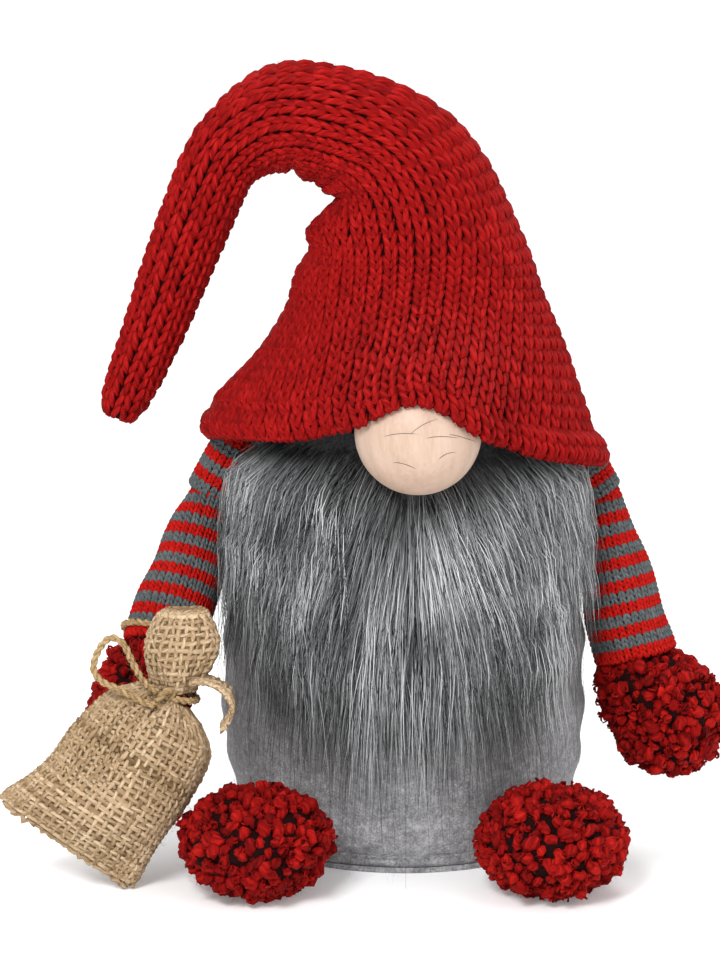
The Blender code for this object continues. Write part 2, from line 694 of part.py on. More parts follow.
# ---- Sack and its twine ----
def make_sack(shoulder, along, arm):
    wrist = shoulder + along * (SLEEVE_LENGTH - 4.0)
    loop_radius = CUFF_RADIUS + TWINE_DIAMETER / 2 + TOUCH_GAP
    side = along.cross(Vector((0, 1, 0))).normalized()
    back = side.cross(along).normalized()
    turns = [wrist + (side * math.cos(a) + back * math.sin(a)) * loop_radius
             for a in (2 * math.pi * i / 28 for i in range(28))]
    strand("twine_wrist_loop", turns, TWINE_DIAMETER, finish("twine_wrist_loop", JUTE, 0.9),
           arm, cyclic=True)

    cuff = shoulder + along * SLEEVE_LENGTH
    mitten_middle = shoulder + along * (SLEEVE_LENGTH + MITTEN_LENGTH * 0.4)
    neck_y = (mitten_middle.y - MITTEN_RADIUS * PRESSED_MITTEN_DEPTH - NECK_AHEAD_OF_MITTEN
              - TWINE_DIAMETER - SACK_NECK_RADIUS)
    neck = Vector((cuff.x + NECK_FROM_WRIST[0], neck_y, cuff.z + NECK_FROM_WRIST[1]))
    swing = pivot("sack_swing", neck, arm)

    lean = math.radians(SACK_LEAN)
    tip = math.radians(SACK_TIP_FORWARD)
    down = Vector((-math.sin(lean), -math.sin(tip) * math.cos(lean), -math.cos(lean))).normalized()
    across = Vector((math.cos(lean), 0, -math.sin(lean)))
    through = across.cross(down)
    through = through if through.y > 0 else -through
    rings = [ring(neck + Vector((x, y, z)), (1, 0, 0), (0, 1, 0), wide, wide, deep, deep,
                  SMALL_ROUND + 4) for x, y, z, wide, deep in FRILL_ROWS]
    tie_side = Vector((math.cos(lean / 2), 0, -math.sin(lean / 2)))
    tie_up = Vector((math.sin(lean / 2), 0, math.cos(lean / 2)))
    neck_half = TWINE_DIAMETER / 2 + SEAM_GAP
    for height in (neck_half, -neck_half):
        rings.append(ring(neck + tie_up * height, tie_side, (0, 1, 0),
                          *[SACK_NECK_RADIUS] * 4, SMALL_ROUND + 4))
    fills = []
    inner = BURLAP_WALL + SEAM_GAP
    for distance, left, right, half in SACK_ROWS:
        centre = neck + down * distance
        rings.append(ring(centre, across, through, left, right, half, half, SMALL_ROUND + 4))
        fills.append(ring(centre, across, through, left - inner - 1, right - inner - 1,
                          max(half - inner - 0.4, 1.2), max(half - inner - 0.4, 1.2), SMALL_ROUND))
    cloth_piece("sack_cloth", rings, BURLAP_WALL, finish("sack_cloth", JUTE, 0.95), swing,
                close_end=True)
    solid_piece("sack_filling", fills[1:-1], finish("sack_filling", FIBREFILL, 0.9), swing)

    tie_radius = SACK_NECK_RADIUS + TWINE_DIAMETER / 2 + SEAM_GAP
    tie = [neck + (tie_side * math.cos(a) + Vector((0, 1, 0)) * math.sin(a)) * tie_radius
           for a in (2 * math.pi * i / 20 for i in range(20))]
    strand("twine_neck_tie", tie, TWINE_DIAMETER, finish("twine_neck_tie", JUTE, 0.9),
           swing, cyclic=True)
    bow = smooth_route([neck + Vector(p) for p in BOW_ROUTE], 2)
    strand("twine_bow", bow, TWINE_DIAMETER, finish("twine_bow", JUTE, 0.9), swing)

    loop_front = wrist - back * loop_radius
    tie_back = neck + Vector((0, tie_radius, 0))
    reach = (tie_back - loop_front).normalized()
    clear = TWINE_DIAMETER + TOUCH_GAP * 2
    hanger = [loop_front + reach * clear, (loop_front + tie_back) / 2 + Vector((0, 0, -1.0)),
              tie_back - reach * clear]
    strand("twine_hanger", smooth_route(hanger, 3), TWINE_DIAMETER,
           finish("twine_hanger", JUTE, 0.9), arm)


make_body()
make_nose()
make_beard()
make_hat()
make_arm("right", 1, RIGHT_ARM_FORWARD, RIGHT_CUFF_GAP, 1.0, 1.0)
left_shoulder, left_along, left_arm = make_arm("left", -1, LEFT_ARM_FORWARD, LEFT_CUFF_GAP,
                                               PRESSED_MITTEN_WIDTH, PRESSED_MITTEN_DEPTH)
make_sack(left_shoulder, left_along, left_arm)
make_foot("left", LEFT_FOOT_X)
make_foot("right", RIGHT_FOOT_X)
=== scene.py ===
# %% [markdown]
# # A knitted-hat tomte gnome
#
# This lesson dresses a packed, jointed model of a soft gnome in its real materials: a chunky red
# stockinette hat, a wooden ball nose, a long faux-fur beard, grey felt, striped knitted sleeves,
# red bouclé mittens and feet, and a burlap sack tied with jute twine. The model is a frame that
# never changes. Every new piece is built where the frame says, and rides on its moving bodies.

# %% Load the frame
import json
import math

import bmesh
import bpy
import numpy as np
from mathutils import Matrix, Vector, noise


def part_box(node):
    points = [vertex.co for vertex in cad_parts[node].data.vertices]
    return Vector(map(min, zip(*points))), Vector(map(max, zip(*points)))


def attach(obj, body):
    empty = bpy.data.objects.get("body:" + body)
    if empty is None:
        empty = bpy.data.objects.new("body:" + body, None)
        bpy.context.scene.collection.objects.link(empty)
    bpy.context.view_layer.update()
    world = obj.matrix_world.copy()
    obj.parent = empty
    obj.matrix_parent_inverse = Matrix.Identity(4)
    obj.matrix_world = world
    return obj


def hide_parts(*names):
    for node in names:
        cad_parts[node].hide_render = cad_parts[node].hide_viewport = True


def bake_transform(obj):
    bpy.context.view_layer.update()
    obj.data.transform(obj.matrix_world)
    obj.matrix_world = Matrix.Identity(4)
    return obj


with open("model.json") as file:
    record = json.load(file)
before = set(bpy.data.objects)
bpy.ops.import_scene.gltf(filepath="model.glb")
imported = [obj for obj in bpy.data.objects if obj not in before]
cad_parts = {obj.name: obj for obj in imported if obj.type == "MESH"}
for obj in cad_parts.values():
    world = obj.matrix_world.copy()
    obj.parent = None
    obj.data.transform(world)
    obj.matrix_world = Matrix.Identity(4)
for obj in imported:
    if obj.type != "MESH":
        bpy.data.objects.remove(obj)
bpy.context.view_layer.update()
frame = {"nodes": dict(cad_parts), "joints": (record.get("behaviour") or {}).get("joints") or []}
bpy.ops.object.select_all(action="DESELECT")
MM = 0.001
random = np.random.default_rng(20)


def middle(node):
    """The middle of a frame node's box."""
    low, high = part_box(node)
    return (Vector(low) + Vector(high)) / 2


# The joints' places, which the cloth that crosses them follows.
JOINT_AT = {joint["name"]: Vector(joint["pos_m"]) for joint in frame["joints"]}
NOSE = middle("nose_ball")
NOSE_RADIUS = (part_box("nose_ball")[1][2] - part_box("nose_ball")[0][2]) / 2
TIE = JOINT_AT["sack_swing"]
BODY_LOW, BODY_HIGH = (Vector(corner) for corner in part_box("body_felt"))

# %% [markdown]
# ## Camera, light and floor
#
# The gnome is seen from straight ahead and ten degrees above, from far enough away that nothing is
# stretched. A long lens at 1.3 m does that. Three large soft lamps and a pale world light the fibres
# from both sides, so that every loop of yarn keeps a soft shadow.

# %% Camera
CAMERA_DISTANCE = 1.30
CAMERA_LIFT = math.radians(10)
LENS = 130
AIM = Vector((-0.0165, 0.0, 0.1357))

camera = bpy.data.objects.new("camera", bpy.data.cameras.new("camera"))
bpy.context.scene.collection.objects.link(camera)
back_off = Vector((0, -math.cos(CAMERA_LIFT), math.sin(CAMERA_LIFT))) * CAMERA_DISTANCE
camera.location = AIM + back_off
camera.rotation_euler = (-back_off).to_track_quat("-Z", "Y").to_euler()
camera.data.lens = LENS
camera.data.sensor_width = 36
bpy.context.scene.camera = camera

# %% Light and floor
world = bpy.data.worlds.new("studio")
bpy.context.scene.world = world
world.use_nodes = True
sky = world.node_tree.nodes["Background"]
sky.inputs["Color"].default_value = (1.0, 1.0, 1.0, 1.0)
# the paper behind is white to the camera and a little dimmer to the object
ray = world.node_tree.nodes.new("ShaderNodeLightPath")
level = world.node_tree.nodes.new("ShaderNodeMapRange")
level.inputs["To Min"].default_value = 0.66
level.inputs["To Max"].default_value = 1.05
world.node_tree.links.new(ray.outputs["Is Camera Ray"], level.inputs["Value"])
world.node_tree.links.new(level.outputs["Result"], sky.inputs["Strength"])
bpy.context.scene.view_settings.view_transform = "Standard"


def soft_lamp(name, place, size, power):
    lamp = bpy.data.lights.new(name, "AREA")
    lamp.size = size
    lamp.energy = power
    obj = bpy.data.objects.new(name, lamp)
    bpy.context.scene.collection.objects.link(obj)
    obj.location = place
    aim = Vector((0, 0, 0.13)) - Vector(place)
    obj.rotation_euler = aim.to_track_quat("-Z", "Y").to_euler()


soft_lamp("key_lamp", (-0.35, -0.95, 0.85), 0.40, 13.0)
soft_lamp("fill_lamp", (0.85, -0.75, 0.45), 0.9, 3.6)
soft_lamp("top_lamp", (0.1, 0.35, 1.1), 0.7, 7.0)

bpy.ops.mesh.primitive_plane_add(size=30)
floor = bpy.context.object
floor.name = "floor"
paper = bpy.data.materials.new("floor_paper")
paper.use_nodes = True
paper_shader = paper.node_tree.nodes["Principled BSDF"]
paper_shader.inputs["Base Color"].default_value = (0.93, 0.93, 0.93, 1)
paper_shader.inputs["Roughness"].default_value = 0.9
paper_shader.inputs["Emission Color"].default_value = (1, 1, 1, 1)
# far from the object, where no lamp reaches, the paper glows enough to stay white
where = paper.node_tree.nodes.new("ShaderNodeTexCoord")
far = paper.node_tree.nodes.new("ShaderNodeVectorMath")
far.operation = "LENGTH"
glow = paper.node_tree.nodes.new("ShaderNodeMapRange")
for key, value in (("From Min", 0.3), ("From Max", 1.6), ("To Min", 0.14), ("To Max", 0.46)):
    glow.inputs[key].default_value = value
paper.node_tree.links.new(where.outputs["Object"], far.inputs[0])
paper.node_tree.links.new(far.outputs["Value"], glow.inputs["Value"])
paper.node_tree.links.new(glow.outputs["Result"], paper_shader.inputs["Emission Strength"])
floor.data.materials.append(paper)

# %% [markdown]
# ## Helpers for yarn, fur and thread
#
# Almost everything here is made of strands: knitted legs, fur, burlap threads and fuzz. Thousands of
# curve objects would be slow, so one helper sweeps many strands at once into a mesh. A strand is a
# row of points with a radius at each, it closes to a point at both ends, and it carries a tone and a
# UV map: U runs round it and V along it, which later places the twist of the plies.

# %% The strand sweeper


def strands(name, paths, radii, sides, tones):
    """A mesh of many strands. paths is (count, points, 3); radii is (count, points) or (points,)."""
    paths = np.asarray(paths, float)
    count, points, _ = paths.shape
    radii = np.broadcast_to(np.asarray(radii, float), (count, points))
    along = np.gradient(paths, axis=1)
    along /= np.linalg.norm(along, axis=2, keepdims=True) + 1e-12
    guide = paths[:, -1] - paths[:, 0]
    guide = np.cross(guide, guide[:, [1, 2, 0]] + 0.013)
    guide = guide / (np.linalg.norm(guide, axis=1, keepdims=True) + 1e-12)
    out = np.cross(along, guide[:, None, :])
    out /= np.linalg.norm(out, axis=2, keepdims=True) + 1e-12
    side = np.cross(along, out)
    inner = slice(1, points - 1)
    turn = 2 * np.pi * np.arange(sides) / sides
    ring = (out[:, inner, None, :] * np.cos(turn)[None, None, :, None]
            + side[:, inner, None, :] * np.sin(turn)[None, None, :, None])
    ring = paths[:, inner, None, :] + ring * radii[:, inner, None, None]
    rings = points - 2
    verts = np.concatenate([ring.reshape(count, rings * sides, 3), paths[:, :1], paths[:, -1:]], 1)
    verts[..., 2] = np.maximum(verts[..., 2], 0.0002)       # nothing lies under the floor
    each = rings * sides + 2

    step = np.arange(sides)
    after = (step + 1) % sides
    quads = np.concatenate([
        np.stack([k * sides + step, k * sides + after, (k + 1) * sides + after,
                  (k + 1) * sides + step], 1) for k in range(rings - 1)])
    first = np.stack([np.full(sides, each - 2), after, step], 1)
    last = np.stack([np.full(sides, each - 1), (rings - 1) * sides + step,
                     (rings - 1) * sides + after], 1)
    caps = np.concatenate([first, last])
    loops = np.concatenate([quads.ravel(), caps.ravel()])
    starts = np.concatenate([np.arange(len(quads)) * 4, len(quads) * 4 + np.arange(len(caps)) * 3])
    sizes = np.concatenate([np.full(len(quads), 4), np.full(len(caps), 3)])

    round_u = np.stack([step, step + 1, step + 1, step], 1) / sides
    quad_u = np.tile(round_u.ravel(), rings - 1)
    quad_v = np.concatenate([np.tile([k, k, k + 1, k + 1], sides) for k in range(rings - 1)])
    cap_u = np.stack([step + 0.5, step + 1, step], 1).ravel() / sides
    cap_v = np.concatenate([np.tile([-1, 0, 0], sides), np.tile([rings, rings - 1, rings - 1], sides)])
    uv = np.stack([np.concatenate([quad_u, cap_u, np.stack([step + 0.5, step, step + 1], 1).ravel()
                                   / sides]), np.concatenate([quad_v, cap_v]) / rings], 1)

    mesh = bpy.data.meshes.new(name)
    mesh.vertices.add(count * each)
    mesh.vertices.foreach_set("co", verts.astype(np.float32).ravel())
    mesh.loops.add(count * len(loops))
    shift = (np.arange(count) * each)[:, None]
    mesh.loops.foreach_set("vertex_index", (loops[None] + shift).astype(np.int32).ravel())
    mesh.polygons.add(count * len(starts))
    shift = (np.arange(count) * len(loops))[:, None]
    mesh.polygons.foreach_set("loop_start", (starts[None] + shift).astype(np.int32).ravel())
    mesh.polygons.foreach_set("loop_total", np.tile(sizes, count).astype(np.int32))
    mesh.update(calc_edges=True)
    mesh.uv_layers.new(name="strand")
    mesh.uv_layers["strand"].data.foreach_set("uv", np.tile(uv, (count, 1)).astype(np.float32).ravel())
    tone = mesh.attributes.new("tone", "FLOAT", "POINT")
    tone.data.foreach_set("value", np.repeat(np.asarray(tones, float), each).astype(np.float32))
    mesh.shade_smooth()
    obj = bpy.data.objects.new(name, mesh)
    bpy.context.scene.collection.objects.link(obj)
    print(f"{name}: {count} strands, {count * 2 * sides * rings} triangles")
    return obj


def sheet_mesh(name, grid, closed_round=True):
    """A skin over a grid of points, (rows, columns, 3), joined round if it is closed."""
    grid = np.asarray(grid, float)
    rows, columns, _ = grid.shape
    index = np.arange(rows * columns).reshape(rows, columns)
    right = np.roll(index, -1, 1) if closed_round else index[:, 1:]
    left = index if closed_round else index[:, :-1]
    faces = np.stack([left[:-1], right[:-1], right[1:], left[1:]], -1).reshape(-1, 4)
    mesh = bpy.data.meshes.new(name)
    mesh.from_pydata(grid.reshape(-1, 3).tolist(), [], faces.tolist())
    mesh.shade_smooth()
    obj = bpy.data.objects.new(name, mesh)
    bpy.context.scene.collection.objects.link(obj)
    return obj


def thicken(piece, thickness, offset=0.0):
    """Turns a skin's faces outward and gives it a real thickness, in millimetres."""
    form = bmesh.new()
    form.from_mesh(piece.data)
    bmesh.ops.recalc_face_normals(form, faces=form.faces)
    form.to_mesh(piece.data)
    form.free()
    solid = piece.modifiers.new("thickness", "SOLIDIFY")
    solid.thickness = thickness * MM
    solid.offset = offset
    bpy.context.view_layer.objects.active = piece
    bpy.ops.object.modifier_apply(modifier=solid.name)


# %% [markdown]
# ## Finishes
#
# Every strand finish reads the strand's tone for its own shade, and its UV map for the twist of the
# plies, so the pattern follows the yarn wherever it bends. Broad noise on object coordinates makes
# the slow unevenness that dyed wool and jute have.

# %% Finish helpers


class Finish:
    """A material under construction: its nodes are added by short calls."""

    def __init__(self, name, roughness, sheen=0.0, sheen_tint=(1, 1, 1)):
        self.material = bpy.data.materials.new(name)
        self.material.use_nodes = True
        self.tree = self.material.node_tree
        self.shader = self.tree.nodes["Principled BSDF"]
        self.shader.inputs["Roughness"].default_value = roughness
        self.shader.inputs["Specular IOR Level"].default_value = 0.25
        if sheen:
            self.shader.inputs["Sheen Weight"].default_value = sheen
            self.shader.inputs["Sheen Roughness"].default_value = 0.5
            self.shader.inputs["Sheen Tint"].default_value = (*sheen_tint, 1)

    def node(self, kind, **settings):
        made = self.tree.nodes.new(kind)
        for key, value in settings.items():
            setattr(made, key, value)
        return made

    def link(self, source, target):
        self.tree.links.new(source, target)

    def coordinates(self, which="Object"):
        return self.node("ShaderNodeTexCoord").outputs[which]

    def noise(self, scale, detail=3.0, roughness=0.55, vector=None):
        made = self.node("ShaderNodeTexNoise")
        made.inputs["Scale"].default_value = scale
        made.inputs["Detail"].default_value = detail
        made.inputs["Roughness"].default_value = roughness
        self.link(vector if vector is not None else self.coordinates(), made.inputs["Vector"])
        return made.outputs["Fac"]

    def math(self, operation, first, second=None):
        made = self.node("ShaderNodeMath", operation=operation)
        for slot, value in zip(made.inputs, (first, second)):
            if isinstance(value, (int, float)):
                slot.default_value = value
            elif value is not None:
                self.link(value, slot)
        return made.outputs["Value"]

    def ramp(self, factor, stops):
        made = self.node("ShaderNodeValToRGB")
        ramp = made.color_ramp
        while len(ramp.elements) < len(stops):
            ramp.elements.new(0.5)
        for element, (place, colour) in zip(ramp.elements, stops):
            element.position = place
            element.color = (*colour, 1)
        self.link(factor, made.inputs["Fac"])
        return made.outputs["Color"]

    def colour(self, source):
        self.link(source, self.shader.inputs["Base Color"])

    def bump(self, height, strength, distance):
        made = self.node("ShaderNodeBump")
        made.inputs["Strength"].default_value = strength
        made.inputs["Distance"].default_value = distance
        self.link(height, made.inputs["Height"])
        self.link(made.outputs["Normal"], self.shader.inputs["Normal"])

    def streaks(self, round_count, along_count):
        """Noise drawn out along the strand and wound with its plies, different on each strand."""
        parts = self.strand_uv()
        turns = self.math("ADD", self.math("MULTIPLY", parts.outputs["X"], 3.0 * round_count),
                          self.math("MULTIPLY", parts.outputs["Y"], 2.2 * along_count))
        place = self.node("ShaderNodeCombineXYZ")
        self.link(turns, place.inputs[0])
        self.link(self.math("MULTIPLY", parts.outputs["Y"], 0.7 * along_count), place.inputs[1])
        made = self.node("ShaderNodeTexNoise", noise_dimensions="4D")
        made.inputs["Scale"].default_value = 1.0
        made.inputs["Detail"].default_value = 3.0
        self.link(place.outputs[0], made.inputs["Vector"])
        self.link(self.math("MULTIPLY", self.tone(), 90.0), made.inputs["W"])
        return made.outputs["Fac"]

    def tone(self):
        return self.node("ShaderNodeAttribute", attribute_name="tone").outputs["Fac"]

    def strand_uv(self):
        """Round the strand as X and along it as Y."""
        parts = self.node("ShaderNodeSeparateXYZ")
        self.link(self.node("ShaderNodeUVMap", uv_map="strand").outputs["UV"], parts.inputs[0])
        return parts

    def plies(self, round_count, along_count):
        """A wave that winds round the strand, as twisted plies do."""
        parts = self.strand_uv()
        turns = self.math("ADD", self.math("MULTIPLY", parts.outputs["X"], round_count),
                          self.math("MULTIPLY", parts.outputs["Y"], along_count))
        wave = self.math("SINE", self.math("MULTIPLY", turns, 2 * math.pi))
        return self.math("MULTIPLY_ADD", wave, 0.5)


def yarn_finish(name, dark, mid, light, round_count, along_count, sheen=0.25, roughness=0.85):
    """Spun yarn: shade by strand, a ply pattern and a fine fibre grain."""
    made = Finish(name, roughness, sheen, mid)
    made.shader.inputs["Specular IOR Level"].default_value = 0.1
    ply = made.plies(round_count, along_count)
    fibre = made.streaks(round_count, along_count)
    broad = made.noise(60.0, 2.0)
    shade = made.math("ADD", made.math("MULTIPLY", made.tone(), 0.42),
                      made.math("MULTIPLY", fibre, 0.62))
    shade = made.math("ADD", shade, made.math("MULTIPLY", broad, 0.12))
    shade = made.math("ADD", shade, made.math("MULTIPLY", ply, 0.10))
    made.colour(made.ramp(shade, [(0.40, dark), (0.60, mid), (0.86, light)]))
    height = made.math("ADD", made.math("MULTIPLY", ply, 0.6), made.math("MULTIPLY", fibre, 1.4))
    made.bump(height, 0.8, 0.0006)
    return made.material


RED_YARN = yarn_finish("red_hat_yarn", (0.085, 0.0004, 0.0004), (0.21, 0.0014, 0.0014),
                       (0.40, 0.009, 0.008), 2, 2, 0.03)
# the cloth's inside keeps the yarn's red, darkened nearly to black as painted shade between the stitches
RED_UNDER_PAINTED_SHADE = yarn_finish("red_hat_under_painted_shade", (0.012, 0.0002, 0.0003), (0.022, 0.0005, 0.0006),
                        (0.035, 0.001, 0.001), 2, 3, 0.0)
RED_SLEEVE = yarn_finish("red_sleeve_yarn", (0.17, 0.0015, 0.001), (0.37, 0.005, 0.003),
                         (0.55, 0.014, 0.009), 2, 2, 0.04)
GREY_SLEEVE = yarn_finish("grey_sleeve_yarn", (0.035, 0.040, 0.041), (0.08, 0.091, 0.094),
                          (0.16, 0.175, 0.18), 2, 2, 0.04)

# %% [markdown]
# ## The hat's cloth
#
# The hat is a cut-and-sewn tube of chunky stockinette: wide at the brim, folded over at the top and
# hanging down as a tail. It could be lathed and given a knit picture, but then the stitches would
# only be paint. Instead its cloth is a rule: a place along the hat, a distance across it from the
# front, and a lift off the surface give a point. The same rule then lays every stitch.

# %% The hat's centre line
# x, z, slope of the row in degrees and half width, all in millimetres, from the brim to the tip
HAT_STATIONS = np.array([
    (0.5, 149, -4, 74.5), (-1, 161, -3, 69.8), (1, 172, -2, 63.2), (3.6, 187, 0, 54.2),
    (5.5, 206, 0, 43.8), (6.2, 221, 2, 38.3), (5.5, 235, 7, 32.5), (1.5, 247, 14, 29),
    (-5.5, 257, 26, 26), (-16, 264, 50, 22.3), (-28, 268.3, 72, 20.6), (-39, 270.6, 88, 20),
    (-48, 270.2, 101, 18.2), (-54.5, 267.5, 112, 16), (-61.5, 262.5, 124, 13.9),
    (-67.5, 256, 139, 12.5), (-71.8, 247.5, 154, 12), (-76.5, 236, 158, 11.7),
    (-81.5, 223.5, 159, 11.3), (-93, 193.5, 159, 9.7), (-103, 169.5, 159, 7.6), (-107, 160, 159, 4.6),
])


def read_rows(rows, places):
    """Values read from a smooth curve through the rows, at places counted in rows."""
    rows = np.asarray(rows, float)
    ends = np.concatenate([2 * rows[:1] - rows[1:2], rows, 2 * rows[-1:] - rows[-2:-1]])
    places = np.clip(places, 0, len(rows) - 1 - 1e-9)
    start = places.astype(int)
    t = (places - start)[..., None]
    a, b, c, d = (ends[start + step] for step in range(4))
    return 0.5 * (2 * b + (c - a) * t + (2 * a - 5 * b + 4 * c - d) * t ** 2
                  + (3 * b - a - 3 * c + d) * t ** 3)


HAT_LINE = read_rows(HAT_STATIONS, np.linspace(0, len(HAT_STATIONS) - 1, 900))
HAT_ALONG = np.concatenate([[0], np.cumsum(np.hypot(*np.diff(HAT_LINE[:, :2], axis=0).T))])
HAT_LENGTH = HAT_ALONG[-1]
print(f"hat: {HAT_LENGTH:.0f} mm along its centre line")

# %% The rule for a point of the hat
BRIM_ROLL = 1.9         # radius of the brim's turned edge
HEM_DEPTH = 10.0        # the hem's stitching line over the edge
FRONT_RISE = 12.0
NOSE_RISE = 20.0
NOSE_MM = np.array(NOSE) / MM
NOSE_REACH = NOSE_RADIUS / MM + 3.6
HAT_DEPTH = 0.97


def bump_at(value, centre, width):
    return np.exp(-(((value - centre) / width) ** 2))


def hat_half_width(along):
    return np.interp(np.maximum(along, 0), HAT_ALONG, HAT_LINE[:, 3])


def hat_point(along, across, lift):
    """Metres, from millimetres along the hat, across it from the front, and off its surface."""
    on = np.maximum(along, 0)
    x, z, slope, half = (np.interp(on, HAT_ALONG, HAT_LINE[:, column]) for column in range(4))
    turn = across / half
    lean = np.radians(slope)
    seam = np.abs(np.abs(turn) - np.pi)
    inner_side = bump_at(turn, -np.pi / 2, 0.75)
    half = half + lift + 1.3 * bump_at(on, 4.5, 4.0) * (along >= 0) - 1.5 * bump_at(on, HEM_DEPTH, 2.2)
    half = half - 1.2 * np.exp(-seam * half / 2.5)
    half = half - inner_side * (4.2 * bump_at(on, 119, 4.5) + 3.2 * bump_at(on, 151, 4.0)
                                + 1.5 * bump_at(on, 134, 5.0) + 4.5 * bump_at(on, 102, 4.5)
                                - 8.5 * bump_at(on, 86, 8.5) - 4.0 * bump_at(on, 66, 9.0))
    half = half + 0.8 * np.sin(on / 11.0 + 2.0 * turn) * bump_at(on, 90, 60)
    out = half * np.sin(turn)
    place = np.stack([x + out * np.cos(lean), -half * HAT_DEPTH * np.cos(turn),
                      z + out * np.sin(lean)], -1)
    ahead = np.maximum(np.cos(turn), 0)
    fade = np.clip(1 - on / 75, 0, 1)
    beside = (place[..., 0] - NOSE_MM[0]) / (NOSE_RADIUS / MM * 1.15)
    front = np.clip(ahead * 4, 0, 1)
    place[..., 2] += fade * (FRONT_RISE * ahead + NOSE_RISE * front * np.exp(-beside ** 2))

    # over the nose the cloth is pushed forward, with a soft shoulder round the ball
    reach = NOSE_REACH + lift
    apart = np.hypot(place[..., 0] - NOSE_MM[0], place[..., 2] - NOSE_MM[2])
    inside = np.minimum(apart, 0.92 * reach)
    ball = NOSE_MM[1] - np.sqrt(reach ** 2 - inside ** 2) + 2.35 * (apart - inside)
    soft = 2.2
    pushed = -soft * np.logaddexp(-place[..., 1] / soft, -ball / soft)
    place[..., 1] += (pushed - place[..., 1]) * np.clip(3 * ahead, 0, 1)

    # past the edge the cloth rolls under and goes up inside
    rolled = np.maximum(-along, 0)
    roll = np.minimum(rolled / BRIM_ROLL, np.pi)
    inward = np.stack([-np.sin(turn), np.cos(turn), np.zeros_like(turn)], -1)
    up = np.maximum(rolled - np.pi * BRIM_ROLL, 0) - BRIM_ROLL * np.sin(roll)
    place = place + inward * (BRIM_ROLL * (1 - np.cos(roll)))[..., None]
    place[..., 2] += up
    return place * MM


# %% [markdown]
# ## Knitting
#
# A stockinette stitch shows as a V: two legs of yarn that start together and lean apart, with the
# next stitch coming up between them. Each leg is one short fat strand, seven points long. A row of
# legs is laid across the cloth's rule, so the stitches bend and crowd wherever the cloth does.

# %% Stitches
# one leg: across and along in stitches, lift in yarn thicknesses
LEG = np.array([
    (0.04, -0.66, -0.80), (0.08, -0.44, -0.02), (0.14, -0.10, 0.34), (0.22, 0.28, 0.40),
    (0.30, 0.64, 0.16), (0.345, 0.94, -0.30), (0.34, 1.16, -0.90),
])
LEG_RADII = np.array([0, 0.80, 1.0, 1.04, 1.0, 0.86, 0])


def knit(name, rule, rows, half_around, wale, row, thickness, finishes, stripe=lambda place: 0):
    """Stitches over a rule. rows are places along it; half_around gives half the way round."""
    groups = {}
    for order, along in enumerate(rows):
        reach = float(half_around(along))
        count = int(reach // wale)
        across = np.arange(-count, count + 1) * wale
        groups.setdefault(stripe(order), []).append(
            np.stack([np.full(len(across), float(along)), across], 1))
    pieces = []
    for colour, places in sorted(groups.items()):
        places = np.concatenate(places)
        jitter = random.normal(0, 0.035, (len(places), 2))
        paths = []
        for mirror in (-1, 1):
            across = places[:, 1, None] + (mirror * LEG[None, :, 0] + jitter[:, :1]) * wale
            along = places[:, 0, None] + (LEG[None, :, 1] + jitter[:, 1:]) * row
            lift = np.broadcast_to(LEG[None, :, 2] * thickness, across.shape)
            paths.append(rule(along, across, lift))
        paths = np.concatenate(paths)
        swell = random.normal(1, 0.06, (len(paths), 1))
        radii = LEG_RADII[None] * swell * thickness / 2 * MM
        tones = np.tile(random.normal(0.5, 0.05, len(places)), 2) + random.normal(0, 0.04, len(paths))
        piece = strands(f"{name}{'_' + str(colour) if len(groups) > 1 else ''}", paths, radii, 5, tones)
        piece.data.materials.append(finishes[colour])
        pieces.append(piece)
    return pieces


# %% The hat in three pieces, split where it folds
HAT_WALE = 5.7
HAT_ROW = 4.7
HAT_YARN = 2.65
CROWN_TOP = 86.0        # where the crown stops and the folded part starts, along the hat
BRIDGE_TOP = 148.0
HAT_SPANS = {"crown": (-9.0, CROWN_TOP), "fold": (CROWN_TOP, BRIDGE_TOP),
             "tail": (BRIDGE_TOP, HAT_LENGTH)}
HAT_NODES = {"crown": "hat_crown", "fold": "hat_bridge", "tail": "hat_tail"}
all_rows = np.arange(-9.0, HAT_LENGTH - 1.0, HAT_ROW)


def place_hat_piece(piece, part):
    """Every layer of a part of the hat is placed in the same way: the crown rides on the root, the fold
    and tail are baked where built.
    """
    if part == "crown":
        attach(piece, "root")
    elif part == "fold":
        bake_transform(piece)
    else:
        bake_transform(piece)


def hat_under(part, start, stop):
    """The cloth's inside, seen between the stitches: its red darkened nearly to black as painted shade,
    with a real thickness.
    """
    along = np.linspace(start, stop, int((stop - start) / 2.2) + 2)[:, None]
    turn = np.linspace(-np.pi, np.pi, 121)[None, :-1]
    across = turn * hat_half_width(along)
    grid = hat_point(along + 0 * across, across, np.full(across.shape, -0.9))
    piece = sheet_mesh(f"hat_{part}_cloth", grid)
    if part == "tail":
        close_end(piece, grid.shape[1])
    thicken(piece, 0.9)
    piece.data.materials.append(RED_UNDER_PAINTED_SHADE)
    return piece


def close_end(piece, around):
    """Closes the last ring of a skin with one face."""
    form = bmesh.new()
    form.from_mesh(piece.data)
    form.verts.ensure_lookup_table()
    form.faces.new(form.verts[-around:])
    form.to_mesh(piece.data)
    form.free()


for part, (start, stop) in HAT_SPANS.items():
    rows = all_rows[(all_rows >= start - 0.5 * HAT_ROW) & (all_rows < stop - 0.5 * HAT_ROW)]
    under = hat_under(part, start, stop)
    stitches = knit(f"hat_{part}_stitches", hat_point, rows, lambda at: np.pi * hat_half_width(at),
                    HAT_WALE, HAT_ROW, HAT_YARN, [RED_YARN])[0]
    place_hat_piece(under, part)
    place_hat_piece(stitches, part)
    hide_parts(HAT_NODES[part])

# %% [markdown]
# ## Wool halo
#
# Wool is never clean at its edge: short fibres stand off the yarn and catch the light. Thin strands
# are scattered over a surface, lean with it, and curl a little.

# %% Scattering


